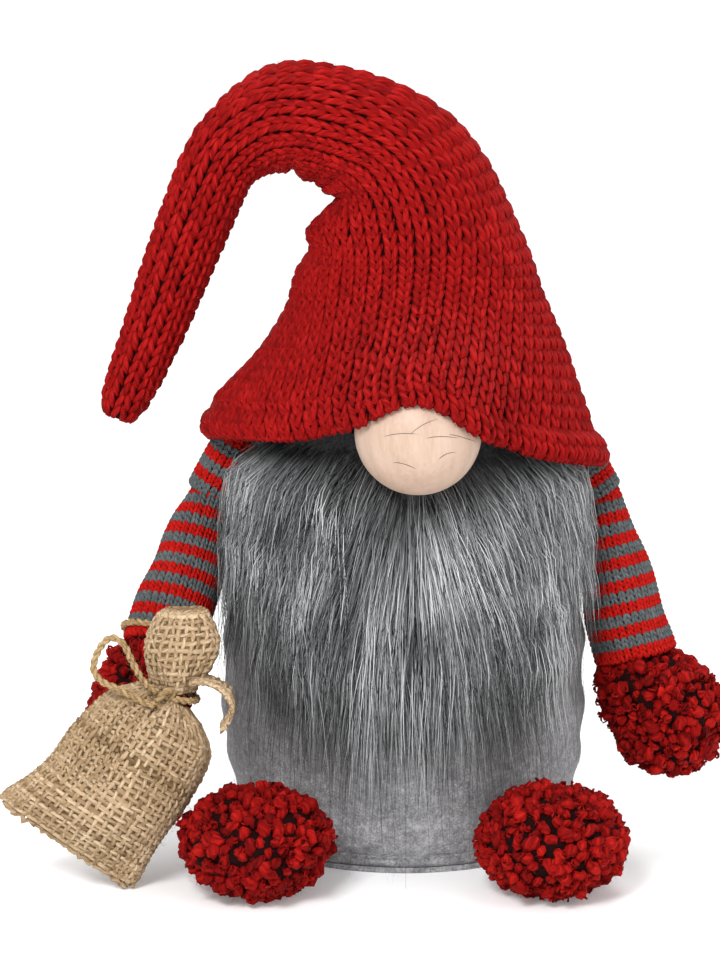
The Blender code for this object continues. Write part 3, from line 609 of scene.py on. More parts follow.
def surface_points(obj, count):
    """Random places on a mesh, spread by area, with the surface's normals."""
    mesh = obj.data
    mesh.calc_loop_triangles()
    points = np.empty(len(mesh.vertices) * 3, np.float32)
    mesh.vertices.foreach_get("co", points)
    corners = np.empty(len(mesh.loop_triangles) * 3, np.int32)
    mesh.loop_triangles.foreach_get("vertices", corners)
    triangles = points.reshape(-1, 3)[corners.reshape(-1, 3)].astype(float)
    normal = np.cross(triangles[:, 1] - triangles[:, 0], triangles[:, 2] - triangles[:, 0])
    area = np.linalg.norm(normal, axis=1)
    chosen = random.choice(len(area), count, p=area / area.sum())
    share = random.random((count, 2))
    share = np.where(share.sum(1, keepdims=True) > 1, 1 - share, share)
    base = triangles[chosen]
    place = (base[:, 0] + share[:, :1] * (base[:, 1] - base[:, 0])
             + share[:, 1:] * (base[:, 2] - base[:, 0]))
    normal = normal[chosen] / (area[chosen, None] + 1e-15)
    return place, normal


def even_points(obj, count):
    """Places on a mesh that keep apart: each is the farthest of many tries from those before it."""
    place, normal = surface_points(obj, 8 * count)
    chosen = [0]
    apart = np.full(len(place), np.inf)
    for _ in range(count - 1):
        apart = np.minimum(apart, np.linalg.norm(place - place[chosen[-1]], axis=1))
        chosen.append(int(apart.argmax()))
    return place[chosen], normal[chosen]


def fibres(name, place, normal, length, radius, lie, curl, material):
    """Short curling fibres: lie is how far they lean over, in shares of their length."""
    count = len(place)
    way = random.normal(size=(count, 3))
    way -= normal * (way * normal).sum(1, keepdims=True)
    way /= np.linalg.norm(way, axis=1, keepdims=True) + 1e-9
    bend = np.cross(normal, way)
    size = length * random.uniform(0.4, 1.2, (count, 1))
    rows = []
    for share in (0.0, 0.12, 0.4, 0.75, 1.0):
        turn = share * random.normal(0, curl, (count, 1))
        rows.append(place + size * (normal * (share - 0.05) * (1 - lie * share)
                                    + way * lie * share + bend * turn * share))
    radii = np.array([0, 1.0, 0.8, 0.5, 0]) * radius
    piece = strands(name, np.stack(rows, 1), radii, 3, random.uniform(0.3, 0.9, count))
    piece.data.materials.append(material)
    return piece


HAT_FUZZ = {"crown": 2600, "fold": 1000, "tail": 1300}
for part, count in HAT_FUZZ.items():
    place, normal = surface_points(bpy.data.objects[f"hat_{part}_stitches"], count)
    fuzz = fibres(f"hat_{part}_fuzz", place, normal, 3.2 * MM, 0.055 * MM, 0.7, 0.5, RED_YARN)
    place_hat_piece(fuzz, part)

# %% [markdown]
# ## Places read from the frame
#
# The sleeves, mittens, feet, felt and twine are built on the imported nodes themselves. A node's
# points give its direction and its ends, and its convex hull, remeshed and smoothed, gives a soft
# stuffed form that fills about the room the node holds.

# %% Reading the nodes


def node_points(node):
    mesh = frame["nodes"][node].data
    points = np.empty(len(mesh.vertices) * 3, np.float32)
    mesh.vertices.foreach_get("co", points)
    return points.reshape(-1, 3).astype(float)


def soft_hull(node, name, voxel, lumps, lump_size, smooth=6):
    """A stuffed form from a node's hull, remeshed evenly, smoothed and made lumpy by noise."""
    form = bmesh.new()
    for point in np.unique(node_points(node).round(6), axis=0):
        form.verts.new(point)
    bmesh.ops.convex_hull(form, input=form.verts)
    bmesh.ops.delete(form, geom=[v for v in form.verts if not v.link_faces], context="VERTS")
    bmesh.ops.recalc_face_normals(form, faces=form.faces)
    mesh = bpy.data.meshes.new(name)
    form.to_mesh(mesh)
    form.free()
    obj = bpy.data.objects.new(name, mesh)
    bpy.context.scene.collection.objects.link(obj)
    bpy.context.view_layer.objects.active = obj
    mesh.remesh_voxel_size = voxel
    bpy.ops.object.voxel_remesh()
    even = obj.modifiers.new("even", "SMOOTH")
    even.iterations = smooth
    bpy.ops.object.modifier_apply(modifier=even.name)
    for vertex, normal in zip(obj.data.vertices, [v.normal.copy() for v in obj.data.vertices]):
        vertex.co += normal * lumps * noise.noise(vertex.co / lump_size)
    obj.data.shade_smooth()
    return obj


def finished(name, obj, material, body, slot, *nodes):
    """Names a piece, gives it its finish and its body, and says which nodes it stands for."""
    obj.name = name
    obj.data.materials.clear()
    obj.data.materials.append(material)
    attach(obj, body)
    if nodes:
        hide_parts(*nodes)
    return obj


# %% [markdown]
# ## Striped sleeves
#
# The sleeves are finer stockinette tubes in red and grey, two rows of each, from a rounded top
# under the brim to the cuff. The same stitch helper knits them over a tube rule. The dome at the
# top turns with the arm, and a short tube sewn to the body meets it under the brim.

# %% Sleeves
SLEEVE_WALE = 2.85
SLEEVE_ROW = 2.1
SLEEVE_YARN = 1.55
STRIPE_ROWS = 2
SLEEVE_START_MM = -9.0
# millimetres down from the shoulder, and radius there; the top is a dome round the shoulder
SLEEVE_RADII = [(-9.0, 2.0), (-8.0, 4.2), (-5.0, 6.4), (0.0, 7.1), (6.0, 8.2), (12.0, 9.6),
                (22.0, 11.3), (42.0, 13.4), (63.0, 14.6)]
arms = {}
for side in ("left", "right"):
    shoulder = np.array(JOINT_AT["arm_lift_" + side]) / MM
    points = node_points("sleeve_" + side) / MM
    reach = np.linalg.norm(points - shoulder, axis=1)
    cuff = points[reach > 0.97 * reach.max()].mean(0)
    along = (cuff - shoulder) / np.linalg.norm(cuff - shoulder)
    length = np.linalg.norm(cuff - shoulder)
    sideways = np.cross(along, (0, 1, 0))
    sideways /= np.linalg.norm(sideways)
    front = np.cross(sideways, along)
    front *= -np.sign(front[1])
    arms[side] = (shoulder, along, sideways, front, length)


def sleeve_rule(side):
    shoulder, along, sideways, front, length = arms[side]
    places, radii = np.array(SLEEVE_RADII).T

    def rule(at, across, lift):
        radius = np.interp(at, places, radii)
        turn = across / radius
        wide = radius + lift + 0.5 * np.sin(at / 5.0 + turn)
        return ((shoulder + along * np.asarray(at)[..., None]
                 + sideways * (wide * np.sin(turn))[..., None]
                 + front * (wide * np.cos(turn))[..., None]) * MM)

    return rule, lambda at: np.pi * np.interp(at, places, radii)


for side, (shoulder, along, _, _, length) in arms.items():
    rule, half_round = sleeve_rule(side)
    body = "arm_" + side
    at = np.linspace(SLEEVE_START_MM, length, 30)[:, None]
    turn = np.linspace(-np.pi, np.pi, 49)[None, :-1]
    grid = rule(at + 0 * turn, turn * half_round(at) / np.pi, np.full((30, 48), -0.6))
    lining = sheet_mesh(f"sleeve_{side}_cloth", grid)
    thicken(lining, 0.7)
    # the lining's near-black red is painted shade, seen between the stitches
    finished(f"sleeve_{side}_cloth", lining, RED_UNDER_PAINTED_SHADE, body, "knit_striped")
    rows = np.arange(SLEEVE_START_MM + 1, length, SLEEVE_ROW)
    shift = len(rows) % (2 * STRIPE_ROWS)
    made = knit(f"sleeve_{side}_stitches", rule, rows, half_round, SLEEVE_WALE, SLEEVE_ROW,
                SLEEVE_YARN, [GREY_SLEEVE, RED_SLEEVE],
                lambda order: (order - shift) // STRIPE_ROWS % 2)
    for piece in made:
        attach(piece, body)
    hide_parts("sleeve_" + side)
    place, normal = surface_points(made[1], 900)
    fuzz = fibres(f"sleeve_{side}_fuzz", place, normal, 2.4 * MM, 0.045 * MM, 0.7, 0.5, RED_SLEEVE)
    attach(fuzz, body)

# %% The tops of the sleeves, sewn to the body under the brim
TOP_AWAY = np.array([13.0, 0.0, -24.0])     # from under the hat to the shoulder on the +X side
TOP_RADII = [(0.0, 8.2), (10.0, 8.8), (27.0, 8.8)]
for side, sign in (("left", -1), ("right", 1)):
    shoulder = arms[side][0]
    way = TOP_AWAY * (sign, 1, 1)
    top_length = np.linalg.norm(way)
    way = way / top_length
    square = np.cross(way, (0, 1, 0))
    top_places, top_radii = np.array(TOP_RADII).T

    def top_rule(at, across, lift):
        radius = np.interp(at, top_places, top_radii)
        turn = across / radius
        wide = radius + lift
        return ((shoulder + way * (np.asarray(at) - top_length)[..., None]
                 + square * (wide * np.sin(turn))[..., None]
                 + np.array([0, -1.0, 0]) * (wide * np.cos(turn))[..., None]) * MM)

    made = knit(f"sleeve_top_{side}_stitches", top_rule, np.arange(1, top_length, SLEEVE_ROW),
                lambda at: np.pi * np.interp(at, top_places, top_radii), SLEEVE_WALE, SLEEVE_ROW,
                SLEEVE_YARN, [GREY_SLEEVE, RED_SLEEVE], lambda order: (order + 1) // STRIPE_ROWS % 2)
    at = np.linspace(0, top_length, 8)[:, None]
    around = np.linspace(-np.pi, np.pi, 37)[None, :-1]
    grid = top_rule(at + 0 * around, around * np.interp(at, top_places, top_radii),
                    np.full((8, 36), -0.6))
    lining = sheet_mesh(f"sleeve_top_{side}_cloth", grid)
    thicken(lining, 0.7)
    # the lining's near-black red is painted shade, seen between the stitches
    lining.data.materials.append(RED_UNDER_PAINTED_SHADE)
    for piece in (*made, lining):
        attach(piece, "root")

# %% [markdown]
# ## Bouclé mittens and feet
#
# Bouclé is a yarn of loops and knots. A lumpy base, painted near-black red as the shade in the
# crevices, shows between them. Fat woolly nubs stand on it, each a short thick curl lying on its
# side, and fine loops of yarn run over them.

# %% Bouclé
BOUCLE_RED = yarn_finish("boucle_red_yarn", (0.065, 0.0004, 0.0004), (0.19, 0.0014, 0.001),
                         (0.42, 0.009, 0.006), 3, 4, 0.05)
# the base's near-black red is painted shade in the crevices between the nubs
BOUCLE_PAINTED_SHADE = yarn_finish("boucle_red_base_painted_shade", (0.008, 0.0003, 0.0003), (0.02, 0.0006, 0.0006),
                          (0.05, 0.001, 0.001), 2, 4, 0.0)


def curls(name, place, normal, steps, sides, loop, thick, drift, sink):
    """Curls of yarn standing on a surface. The last four are ranges in millimetres."""
    count = len(place)
    way = random.normal(size=(count, 3))
    way -= normal * (way * normal).sum(1, keepdims=True)
    way /= np.linalg.norm(way, axis=1, keepdims=True)
    axis = np.cross(normal, way)
    share = np.linspace(0, 1, steps)[None, :, None]
    radius, along, low = (random.uniform(*reach, (count, 1, 1)) * MM for reach in (loop, drift, sink))
    turns = random.uniform(0.8, 1.4, (count, 1, 1)) * 2 * np.pi
    angle = random.uniform(-1.3, -0.5, (count, 1, 1)) + turns * share
    paths = (place[:, None] + normal[:, None] * (low + radius * np.sin(angle))
             + way[:, None] * radius * np.cos(angle) + axis[:, None] * along * (share - 0.5)
             + random.normal(0, 0.00018, (count, steps, 3)))
    ends = np.concatenate([[0, 0.8], np.full(steps - 4, 1.0), [0.8, 0]])
    radii = ends[None] * random.uniform(*thick, (count, 1)) * random.uniform(0.8, 1.2, (count, steps))
    piece = strands(name, paths, radii * MM, sides, random.normal(0.5, 0.16, count))
    piece.data.materials.append(BOUCLE_RED)
    return piece


BOUCLE = {"mitten_left": ("arm_left", 250), "mitten_right": ("arm_right", 330),
          "foot_cover_left": ("foot_left", 330), "foot_cover_right": ("foot_right", 330)}
for node, (body, count) in BOUCLE.items():
    base = soft_hull(node, node + "_base", 1.6 * MM, 1.6 * MM, 5.5 * MM)
    inset = base.modifiers.new("inset", "DISPLACE")
    inset.strength = -1.3 * MM
    inset.mid_level = 0
    bpy.context.view_layer.objects.active = base
    bpy.ops.object.modifier_apply(modifier=inset.name)
    place, normal = even_points(base, count)
    nubs = curls(node + "_nubs", place, normal, 8, 7, (0.9, 1.9), (1.4, 2.5), (0.5, 3.0), (-1.4, 0.8))
    place, normal = surface_points(nubs, 2 * count)
    loops = curls(node + "_loops", place, normal, 9, 4, (0.7, 1.3), (0.35, 0.55), (0.8, 3.0), (-0.2, 0.4))
    place, normal = surface_points(nubs, 1500)
    fuzz = fibres(node + "_fuzz", place, normal, 3.0 * MM, 0.05 * MM, 0.5, 1.2, BOUCLE_RED)
    # the base's near-black red is painted shade in the crevices
    finished(node + "_base", base, BOUCLE_PAINTED_SHADE, body, "boucle_red", node)
    for piece in (nubs, loops, fuzz):
        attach(piece, body)

# %% [markdown]
# ## Felt body
#
# The body is a felt bag over filling: a turned form with a soft bulge, a hem stitched round the
# base, and a surface of matted fibres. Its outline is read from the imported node, so it can't drift.

# %% Felt
felt = Finish("grey_felt", 0.95, 0.3, (0.6, 0.6, 0.62))
broad = felt.noise(42.0, 5.0, 0.65)
grain = felt.noise(330.0, 5.0, 0.7)
fine = felt.noise(1300.0, 3.0, 0.7)
mottle = felt.math("ADD", felt.math("MULTIPLY", broad, 0.22), felt.math("MULTIPLY", grain, 0.38))
mottle = felt.math("ADD", mottle, felt.math("MULTIPLY", fine, 0.40))
felt.colour(felt.ramp(mottle, [(0.38, (0.11, 0.11, 0.116)), (0.5, (0.25, 0.25, 0.258)),
                               (0.61, (0.46, 0.46, 0.47))]))
felt.bump(felt.math("ADD", grain, felt.math("MULTIPLY", fine, 0.6)), 0.55, 0.0012)
FELT_FIBRE = Finish("felt_fibre", 0.9, 0.2)
FELT_FIBRE.colour(FELT_FIBRE.ramp(FELT_FIBRE.tone(), [(0.3, (0.16, 0.16, 0.17)),
                                                      (0.9, (0.62, 0.62, 0.64))]))

skin = node_points("body_felt")
heights = np.unique(skin[:, 2].round(5))
outline = [(np.hypot(*skin[abs(skin[:, 2] - height) < 2e-5, :2].T).max(), height)
           for height in heights]
OUTER = np.array([row for row in outline if row[0] > 0.02 or row[1] > 0.17])
levels = np.linspace(BODY_LOW.z, BODY_HIGH.z - 0.0004, 90)
row_radius = np.interp(levels, OUTER[:, 1], OUTER[:, 0])
for _ in range(4):
    row_radius[1:-1] = (row_radius[:-2] + 2 * row_radius[1:-1] + row_radius[2:]) / 4


def body_radius(height):
    return np.interp(height, levels, row_radius)


turn = np.linspace(0, 2 * np.pi, 141)[:-1]
radius = row_radius[:, None] * np.ones(140)
HEM_LINE = BODY_LOW.z + 0.0042
radius = radius - 0.0007 * bump_at(levels, HEM_LINE, 0.0011)[:, None]
lump = np.array([[noise.noise((math.cos(a) * 1.6, math.sin(a) * 1.6, z * 26)) for a in turn]
                 for z in levels])
radius = radius + 0.0009 * lump
grid = np.stack([radius * np.sin(turn), -radius * np.cos(turn),
                 levels[:, None] + 0 * turn], -1)
body_skin = sheet_mesh("body_felt_skin", grid)
close_end(body_skin, 140)
thicken(body_skin, 1.6, -1.0)
finished("body_felt_skin", body_skin, felt.material, "root", "felt_grey", "body_felt")

place, normal = surface_points(body_skin, 7000)
seen = (normal[:, :2] * place[:, :2]).sum(1) > 0
nap = fibres("body_felt_nap", place[seen], normal[seen], 3.2 * MM, 0.045 * MM, 0.93, 0.8,
             FELT_FIBRE.material)
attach(nap, "root")

stitch_turn = np.linspace(0, 2 * np.pi, 97)[:-1]
share = np.linspace(-1, 1, 7)[None]
stitch_at = stitch_turn[:, None] + share * 0.021
hem_radius = body_radius(HEM_LINE) + 0.0001 - 0.0007 * share ** 4
paths = np.stack([hem_radius * np.sin(stitch_at), -hem_radius * np.cos(stitch_at),
                  HEM_LINE + 0 * stitch_at], -1)
hem = strands("body_hem_stitches", paths, np.array([0, .3, .34, .34, .34, .3, 0]) * MM, 6,
              random.uniform(0.3, 0.6, 96))
finished("body_hem_stitches", hem, FELT_FIBRE.material, "root", "felt_grey")

# %% [markdown]
# ## Wooden nose
#
# A turned wooden ball, sanded and left raw, with faint upright grain, a slight flat where it was
# drilled for the lathe, and a satin surface.

# %% Nose
bpy.ops.mesh.primitive_uv_sphere_add(segments=96, ring_count=64, radius=NOSE_RADIUS, location=NOSE)
nose = bpy.context.object
bpy.ops.object.mode_set(mode="EDIT")
bpy.ops.mesh.select_all(action="SELECT")
bpy.ops.transform.rotate(value=math.radians(90), orient_axis="X", center_override=NOSE)
bpy.ops.object.mode_set(mode="OBJECT")
bpy.ops.object.transform_apply(location=True, rotation=True, scale=True)
for vertex in nose.data.vertices:
    flat = NOSE.y + NOSE_RADIUS * 0.965
    vertex.co.y = min(vertex.co.y, flat)
nose.data.shade_smooth()
wood = Finish("pale_wood", 0.42)
place = wood.node("ShaderNodeMapping")
place.inputs["Scale"].default_value = (1.0, 1.0, 0.16)
place.inputs["Rotation"].default_value = (0.08, 0.05, 0)
wood.link(wood.coordinates(), place.inputs["Vector"])
figure = wood.noise(190.0, 4.0, 0.6, place.outputs["Vector"])
pores = wood.noise(1500.0, 2.0, 0.6, place.outputs["Vector"])
grain = wood.math("ADD", wood.math("MULTIPLY", figure, 0.7), wood.math("MULTIPLY", pores, 0.3))
wood.colour(wood.ramp(grain, [(0.3, (0.40, 0.275, 0.205)), (0.5, (0.475, 0.340, 0.262)),
                              (0.7, (0.52, 0.385, 0.302))]))
wood.bump(grain, 0.12, 0.0005)
finished("nose_wood_ball", nose, wood.material, "root", "wood_pale", "nose_ball")

# %% [markdown]
# ## Faux-fur beard
#
# Faux fur is knitted backing with long pile. The beard is a cut piece of it under the brim, its
# pile combed down over the belly. It is thousands of tapering strands in locks: each starts on the
# backing, lifts off, and runs down over the felt with its neighbours. The middle parts under the
# nose, and long dark guard hairs run past the rest.

# %% Beard
FUR = Finish("grey_fur", 0.5, 0.15)
along_hair = FUR.math("MULTIPLY", FUR.strand_uv().outputs["Y"], 3.0)
root_dark = FUR.math("MULTIPLY_ADD", FUR.math("MINIMUM", along_hair, 1.0), 0.45)
root_dark.node.inputs[2].default_value = 0.55
shade = FUR.math("MULTIPLY", FUR.tone(), root_dark)
FUR.colour(FUR.ramp(shade, [(0.05, (0.008, 0.008, 0.009)), (0.35, (0.055, 0.058, 0.06)),
                            (0.62, (0.20, 0.208, 0.212)), (0.95, (0.60, 0.61, 0.62))]))
FUR.shader.inputs["Specular IOR Level"].default_value = 0.5

BEARD_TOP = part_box("beard_pile")[1][2]
BACKING_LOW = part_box("beard_backing")[0][2]
BEARD_SIDE = 0.064


def lock_noise(x, z, size, seed):
    return np.array([noise.noise((a / size, b / size, seed)) for a, b in zip(x, z)])


def beard(name, count, length, radius, layer, tone, spread=1.0, droop=1.0):
    """Strands combed down from the backing. layer is how far they lie off the felt."""
    depth = 1 - random.random(count) ** 0.8
    root_high = BEARD_TOP - (BEARD_TOP - BACKING_LOW) * depth
    root_turn = np.radians(random.uniform(-1, 1, count) * (66 - 34 * depth ** 2))
    start_radius = body_radius(root_high)
    root_x = start_radius * np.sin(root_turn)
    lock_x = np.round(root_x / 0.0066 + lock_noise(root_x, root_high, 0.02, 3.0)) * 0.0066
    lock_seed = np.round(root_high / 0.011)
    lock = lock_noise(lock_x * 1.7, lock_seed * 0.011, 0.004, 9.0)
    size = length * random.uniform(0.70, 1.12, count) * (1 + 0.32 * lock)
    edge = np.abs(root_x) / 0.062
    size = size * (1.20 - 0.62 * np.minimum(edge, 1.1) ** 1.5)
    drift = np.radians(random.normal(0, 5, count) + 24 * lock)
    drift = drift + spread * (0.28 + 0.75 * np.exp(-depth / 0.2) * edge ** 3) * root_x / 0.06
    off = NOSE.x
    under_nose = np.exp(-((root_x - off) / 0.022) ** 2) * (root_high > NOSE.z - 0.055)
    drift = drift + 0.30 * np.tanh((root_x - off) / 0.009 + 0.8 * lock) * under_nose
    steps = 7
    rows = []
    turn = root_turn.copy()
    high = root_high.copy()
    lift = random.uniform(*layer, count) + 0.002 * lock
    wave = random.uniform(0, 6.28, count)
    for step in range(steps):
        share = step / (steps - 1)
        off_felt = 0.0018 + lift * min(1.0, share * 3.2) * (1 - 0.55 * share ** 2)
        here = body_radius(np.maximum(high, 0.045)) + off_felt
        pull = 0.72 * share * (lock_x - root_x) * np.maximum(1 - np.abs(drift), 0)
        x = here * np.sin(turn) + pull + 0.0007 * np.sin(wave + 5 * share)
        # the arms press the fur in at the sides, least where they hang clear of the body
        room = BEARD_SIDE + 0.30 * np.clip(BEARD_TOP - 0.02 - high, 0, 0.06) + 0.003 * lock
        past = 0.004 * np.tanh((np.abs(x) - room) / 0.006)
        x = np.sign(x) * np.minimum(np.abs(x), room + past)
        rows.append(np.stack([x, -here * np.cos(turn), high], 1))
        bend = drift * (1 - 0.5 * share) * droop
        move = size / (steps - 1)
        high = high - move * np.cos(bend)
        turn = turn + move * np.sin(bend) / here
    paths = np.stack(rows, 1)
    # hair pressed aside by the wooden ball
    away = paths - np.array(NOSE)
    apart = np.linalg.norm(away, axis=2, keepdims=True)
    clear = NOSE_RADIUS + 0.0012
    paths = np.where(apart < clear, np.array(NOSE) + away / apart * clear, paths)
    radii = np.array([0, 0.95, 1.0, 0.95, 0.7, 0.4, 0]) * radius
    thick = random.uniform(0.7, 1.25, (count, 1))
    patch = lock_noise(lock_x, lock_seed * 0.011, 0.017, 5.0)
    tones = np.clip(tone + 0.62 * patch + 0.42 * lock + random.normal(0, 0.13, count), 0.02, 1.3)
    piece = strands(name, paths, radii[None] * thick, 3, tones)
    return finished(name, piece, FUR.material, "root", "fur_grey")


STRAND_LAYERS = {
    "beard_underfur": (4200, 0.046, 0.17 * MM, (0.0, 0.004), 0.20),
    "beard_pile_inner": (5200, 0.056, 0.15 * MM, (0.002, 0.007), 0.46),
    "beard_pile_outer": (5400, 0.068, 0.14 * MM, (0.004, 0.0115), 0.62),
    "beard_pile_top": (3800, 0.054, 0.13 * MM, (0.007, 0.0145), 0.64),
}
layers = [beard(name, *facts) for name, facts in STRAND_LAYERS.items()]
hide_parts("beard_pile")
beard("beard_guard_hairs", 1000, 0.090, 0.09 * MM, (0.004, 0.014), 0.0, 1.3)


# %% [markdown]
# ## Burlap sack
#
# Burlap is a plain weave of coarse jute threads with holes between them. The bag is a flat pillow
# gathered at its neck, seamed along the bottom. Real warp and weft threads are laid over the bag's
# rule, each going over one and under the next, and a thin lining painted dark brown, as the shade
# seen through the holes, closes them.

# %% Weaving
JUTE_THREAD = yarn_finish("burlap_thread", (0.17, 0.105, 0.052), (0.34, 0.232, 0.132),
                          (0.58, 0.44, 0.29), 2, 14, 0.06, 0.9)
# the lining's dark brown is painted shade, seen through the holes of the weave
BURLAP_BACK_PAINTED_SHADE = Finish("burlap_lining_painted_shade", 0.95)
BURLAP_BACK_PAINTED_SHADE.colour(BURLAP_BACK_PAINTED_SHADE.ramp(BURLAP_BACK_PAINTED_SHADE.noise(900.0, 3.0), [(0.35, (0.13, 0.08, 0.035)),
                                                                    (0.65, (0.30, 0.20, 0.10))]))
TWINE = yarn_finish("jute_twine_ply", (0.17, 0.095, 0.038), (0.36, 0.235, 0.11), (0.58, 0.42, 0.24),
                    3, 60, 0.06, 0.85)
WEAVE_PITCH = 2.2
WEAVE_AMOUNT = 0.36
THREAD_RADIUS = 0.88


def weave(name, rule, wide, high, closed, body, fray=0.0):
    """Warp and weft over a rule of (across, down, lift) in millimetres, with a lining painted dark as
    shade.
    """
    columns = int(round(wide / WEAVE_PITCH))
    rows = int(round(high / WEAVE_PITCH))
    cell_wide = wide / columns
    cell_high = high / rows
    pieces = []
    for count, cells, kind in ((columns, rows, "warp"), (rows, columns, "weft")):
        fine = np.linspace(-fray, cells + (0 if closed and kind == "weft" else fray), cells * 3 + 1)
        order = np.arange(count)[:, None]
        swing = np.cos(np.pi * (fine[None] - 0.5)) * (-1.0) ** order * WEAVE_AMOUNT
        wander = 0.12 * np.sin(fine[None] * 0.9 + order * 2.1) + random.normal(0, 0.07, (count, 1))
        here = order + 0.5 + wander
        if kind == "warp":
            paths = rule(here * cell_wide, fine[None] * cell_high + 0 * here, swing)
        else:
            paths = rule(fine[None] * cell_wide + 0 * here, here * cell_high, -swing)
        size = random.uniform(0.82, 1.15, (count, 1)) * (1 + random.normal(0, 0.07, paths.shape[:2]))
        radii = size * THREAD_RADIUS * MM
        radii[:, 0] = radii[:, -1] = 0
        piece = strands(f"{name}_{kind}", paths, radii, 6, random.normal(0.5, 0.2, count))
        piece.data.materials.append(JUTE_THREAD)
        pieces.append(piece)
    across = np.linspace(0, wide, 61)[None, :-1 if closed else None]
    down = np.linspace(0, high, 41)[:, None]
    grid = rule(across + 0 * down, down + 0 * across, np.full((41, across.shape[1]), -0.55))
    lining = sheet_mesh(name + "_lining", grid, closed)
    if closed:
        close_end(lining, across.shape[1])
    thicken(lining, 0.4)
    # the lining's dark brown is painted shade in the holes
    lining.data.materials.append(BURLAP_BACK_PAINTED_SHADE.material)
    for piece in (*pieces, lining):
        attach(piece, body)
    return pieces, lining


# %% The bag
SACK_LEAN = math.radians(35.3)
SACK_TIP = math.radians(12)
TIE_MM = np.array(TIE) / MM
sack_down = np.array([-math.sin(SACK_LEAN), -math.sin(SACK_TIP) * math.cos(SACK_LEAN),
                      -math.cos(SACK_LEAN)])
sack_down /= np.linalg.norm(sack_down)
sack_across = np.array([math.cos(SACK_LEAN), 0, -math.sin(SACK_LEAN)])
sack_through = np.cross(sack_across, sack_down)
sack_through *= np.sign(sack_through[1])
# down from the tie: distance, to its left, to its right, half thickness
BAG_ROWS = np.array([
    (1.5, 6.8, 6.8, 6.8), (6, 12.5, 17.5, 9.5), (13, 18.5, 25, 13.5), (28, 20.8, 26.2, 16.6),
    (42, 21.8, 26.8, 16.4), (54, 25.2, 27.8, 11.5), (62, 28.0, 28.0, 5.2), (66, 28.6, 28.0, 1.3),
])
BAG_WIDE = 122.0
BAG_HIGH = 70.0
BAG_LINE = read_rows(BAG_ROWS, np.linspace(0, len(BAG_ROWS) - 1, 300))
BAG_DOWN = np.concatenate([[0], np.cumsum(np.linalg.norm(np.diff(BAG_LINE[:, [0, 3]], axis=0), axis=1))])


def bag_rule(across, down, lift):
    share = down / BAG_HIGH * BAG_DOWN[-1]
    distance, left, right, half = (np.interp(share, BAG_DOWN, BAG_LINE[:, i]) for i in range(4))
    beyond = np.maximum(down - BAG_HIGH, 0)
    turn = 2 * np.pi * (across / BAG_WIDE - 0.5)
    pleat = 1.9 * np.exp(-distance / 13.0) * np.sin(8 * turn + 0.7) * np.minimum(distance / 5, 1)
    dent = 2.2 * bump_at(distance, 25, 9) * bump_at(np.sin(turn / 2 - 1.35), 0, 0.10)
    loose = 0.7 * np.sin(distance / 6.5 + 2 * turn) * np.minimum(half / 10, 1)
    off = lift + pleat - dent + loose
    side = np.sin(turn)
    face = -np.cos(turn)
    pillow = np.sign(face) * np.abs(face) ** 0.85
    wide = np.where(side > 0, right, left) + off
    return (TIE_MM + sack_down * (distance + beyond)[..., None]
            + sack_across * (wide * side)[..., None]
            + sack_through * ((half + off) * pillow)[..., None]) * MM


bag, bag_lining = weave("sack_bag", bag_rule, BAG_WIDE, BAG_HIGH, True, "sack")
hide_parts("sack_cloth")

# %% The gathered mouth over the tie
# up from the tie: x, y, z, half width, half thickness
MOUTH_ROWS = np.array([
    (0.5, 0, 0.5, 6.8, 6.8), (1.5, 0.5, 5, 9.0, 7.6), (2.5, 1.5, 12, 11.6, 8.2),
    (4.0, 2.2, 20, 12.0, 7.2), (4.8, 3.0, 27, 9.0, 5.0), (5.0, 3.2, 29.5, 6.0, 2.6),
])
MOUTH_WIDE = 62.0
MOUTH_HIGH = 32.0


def mouth_rule(across, down, lift):
    rows = read_rows(MOUTH_ROWS, np.clip(down / MOUTH_HIGH, 0, 1) * (len(MOUTH_ROWS) - 1))
    turn = 2 * np.pi * (across / MOUTH_WIDE - 0.5)
    pleat = 1.4 * np.sin(5 * turn + 1.0) * np.exp(-down / 14) + 0.7 * np.sin(3 * turn + down / 4)
    wide = rows[..., 3] + lift + pleat
    deep = rows[..., 4] + lift + pleat * 0.6
    return (TIE_MM + rows[..., :3] + np.stack([wide * np.sin(turn), -deep * np.cos(turn),
                                               0 * wide], -1)) * MM


weave("sack_mouth", mouth_rule, MOUTH_WIDE, MOUTH_HIGH, True, "sack")

FLAP_WIDE = 22.0
FLAP_HIGH = 26.0


def flap_rule(across, down, lift):
    """The mouth's loose lip, which curls out to the right of the tie and down."""
    share = np.maximum(down / FLAP_HIGH, 0)
    curl = 2.3 * share ** 1.2
    reach = 3.0 + 15.0 * np.sin(curl)
    drop = 7.0 - 13.5 * (1 - np.cos(curl)) + 6.0 * share
    side = (across / FLAP_WIDE - 0.5) * (12.0 + 8.0 * share)
    fold = 2.0 * np.sin(across / FLAP_WIDE * 2 * np.pi) * share
    outward = np.stack([np.cos(curl * 0.5), 0 * curl, np.sin(curl * 0.5)], -1)
    place = TIE_MM + np.stack([4.0 + reach, -5.0 + side, drop + fold - 2], -1)
    return (place + outward * lift[..., None]) * MM


weave("sack_flap", flap_rule, FLAP_WIDE, FLAP_HIGH, False, "sack", 0.25)

